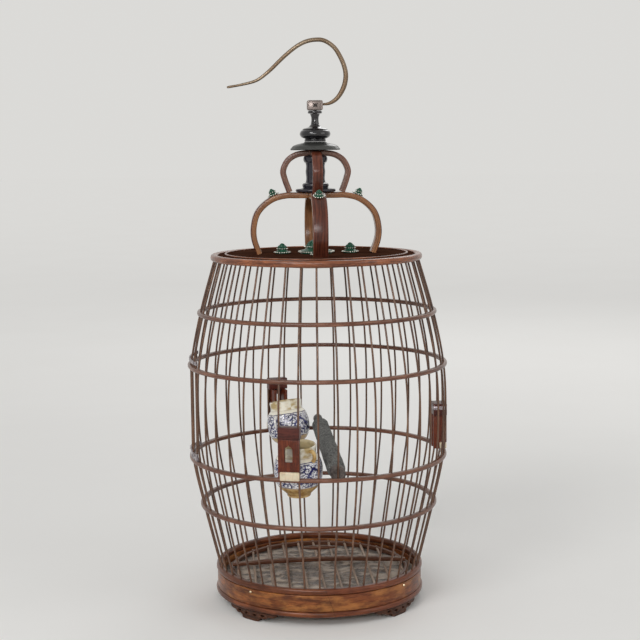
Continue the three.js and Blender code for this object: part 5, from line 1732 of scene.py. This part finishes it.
class CAGE_OT_stage(CagePiece, bpy.types.Operator):
    """Make the floor, the lights and the camera"""
    bl_idname = "cage.stage"
    bl_label = "Stage"

    def make(self):
        self.floor()
        self.lights()
        self.camera()

    def floor(self):
        bm = bmesh.new()
        bmesh.ops.create_grid(bm, x_segments=8, y_segments=8, size=30)
        mesh = bpy.data.meshes.new("pale_floor")
        bm.to_mesh(mesh)
        bm.free()
        pale, net, shader = new_material("pale_floor", Roughness=0.9, Specular_IOR_Level=0.0)
        grain = net.noise(net.place(), 3.0, 4.0, 0.6)
        tone = bpy.context.scene.cage_stage.floor
        colour = net.mix(net.remap(grain, 0.3, 0.7, 0.0, 0.06), tone, srgb(216, 214, 210))
        net.feed(shader.inputs["Base Color"], colour)
        path = net.node("LightPath").outputs
        seen = net.math("MAXIMUM", path["Is Camera Ray"], path["Is Glossy Ray"])
        seen = net.math("MAXIMUM", seen, path["Is Transmission Ray"])
        away = net.node("VectorMath", {"operation": "LENGTH"}, Vector=net.place()).outputs["Value"]
        near = net.math("MULTIPLY_ADD", away, away, LAMP_SPREAD ** 2)
        near = net.math("POWER", net.math("DIVIDE", LAMP_SPREAD ** 2, near), 1.5)
        glow = net.math("MULTIPLY", net.math("SUBTRACT", 1.0, near), FAR_GLOW)
        net.feed(shader.inputs["Emission Color"], colour)
        net.feed(shader.inputs["Emission Strength"], net.math("MULTIPLY", seen, glow))
        mesh.materials.append(pale)
        floor = bpy.data.objects.new("pale_floor", mesh)
        bpy.context.scene.collection.objects.link(floor)

    def lights(self):
        scene = bpy.context.scene
        stage = scene.cage_stage
        aim = Vector((0, 0, 0.36))
        plan = (
            ("key_light", (-1.7, -2.3, 2.3), 1.2, 1.2, 90, stage.key_power),
            ("front_light", (-0.6, -2.5, 1.05), 1.6, 0.4, 80, stage.front_power),
            ("fill_light", (2.3, -1.5, 1.3), 1.6, 1.6, 100, stage.fill_power),
            ("back_light", (0.9, 2.2, 2.2), 1.4, 1.4, 180, stage.fill_power),
        )
        for name, place, width, height, spread, power in plan:
            lamp = bpy.data.lights.new(name, "AREA")
            lamp.shape = "RECTANGLE"
            lamp.size = width
            lamp.size_y = height
            lamp.spread = math.radians(spread)
            # A narrower lamp is brighter along its axis, so its power comes down by as much
            lamp.energy = power * (1 - lamp.spread / 2 / math.tan(lamp.spread / 2))
            light = bpy.data.objects.new(name, lamp)
            light.location = place
            light.rotation_euler = (aim - Vector(place)).to_track_quat("-Z", "Y").to_euler()
            scene.collection.objects.link(light)
        world = bpy.data.worlds.new("even_room")
        world.use_nodes = True
        net = Net(world.node_tree)
        background = world.node_tree.nodes["Background"]
        path = net.node("LightPath").outputs
        seen = net.math("MAXIMUM", path["Is Camera Ray"], path["Is Glossy Ray"])
        seen = net.math("MAXIMUM", seen, path["Is Transmission Ray"])
        net.feed(background.inputs["Color"], net.mix(seen, (1.0, 1.0, 1.0), stage.floor))
        net.feed(background.inputs["Strength"], net.math("MULTIPLY_ADD", seen, FAR_GLOW, stage.room_light))
        scene.world = world
        scene.view_settings.view_transform = "Standard"

    def camera(self):
        scene = bpy.context.scene
        lens = bpy.data.cameras.new("photo_camera")
        lens.sensor_width = 36
        lens.lens = FOCAL_PIXELS / PICTURE_PIXELS * lens.sensor_width
        lens.clip_end = 50
        camera = bpy.data.objects.new("photo_camera", lens)
        turn = turned_by(-CAGE_YAW)
        place = turn @ Matrix.Translation((CAMERA_SIDE, -CAMERA_DISTANCE, CAMERA_HEIGHT))
        look = Matrix.Rotation(math.pi / 2 - CAMERA_PITCH, 4, "X") @ Matrix.Rotation(CAMERA_ROLL, 4, "Z")
        camera.matrix_world = place @ look
        scene.collection.objects.link(camera)
        scene.camera = camera


class CAGE_PT_panel(bpy.types.Panel):
    bl_idname = "CAGE_PT_panel"
    bl_label = "Birdcage"
    bl_space_type = "VIEW_3D"
    bl_region_type = "UI"
    bl_category = "Birdcage"

    def draw(self, context):
        layout = self.layout
        for operator in OPERATORS:
            layout.operator(operator.bl_idname)
        for group in (context.scene.cage_shape, context.scene.cage_colours, context.scene.cage_stage):
            for key in group.bl_rna.properties.keys():
                if key not in ("rna_type", "name"):
                    layout.prop(group, key)


OPERATORS = (
    CAGE_OT_stage, CAGE_OT_base, CAGE_OT_bars, CAGE_OT_hoops, CAGE_OT_feet, CAGE_OT_top,
    CAGE_OT_crown, CAGE_OT_finial, CAGE_OT_hook, CAGE_OT_rosettes, CAGE_OT_door,
    CAGE_OT_brackets, CAGE_OT_jars, CAGE_OT_perch, CAGE_OT_floor,
)
CLASSES = (CageShape, CageColours, CageStage, *OPERATORS, CAGE_PT_panel)


def register():
    for cls in CLASSES:
        bpy.utils.register_class(cls)
    bpy.types.Scene.cage_shape = bpy.props.PointerProperty(type=CageShape)
    bpy.types.Scene.cage_colours = bpy.props.PointerProperty(type=CageColours)
    bpy.types.Scene.cage_stage = bpy.props.PointerProperty(type=CageStage)


def unregister():
    del bpy.types.Scene.cage_stage
    del bpy.types.Scene.cage_colours
    del bpy.types.Scene.cage_shape
    for cls in reversed(CLASSES):
        bpy.utils.unregister_class(cls)


def main():
    """Builds the whole cage."""
    register()
    for operator in OPERATORS:
        family, name = operator.bl_idname.split(".")
        getattr(getattr(bpy.ops, family), name)()


if __name__ == "__main__":
    main()
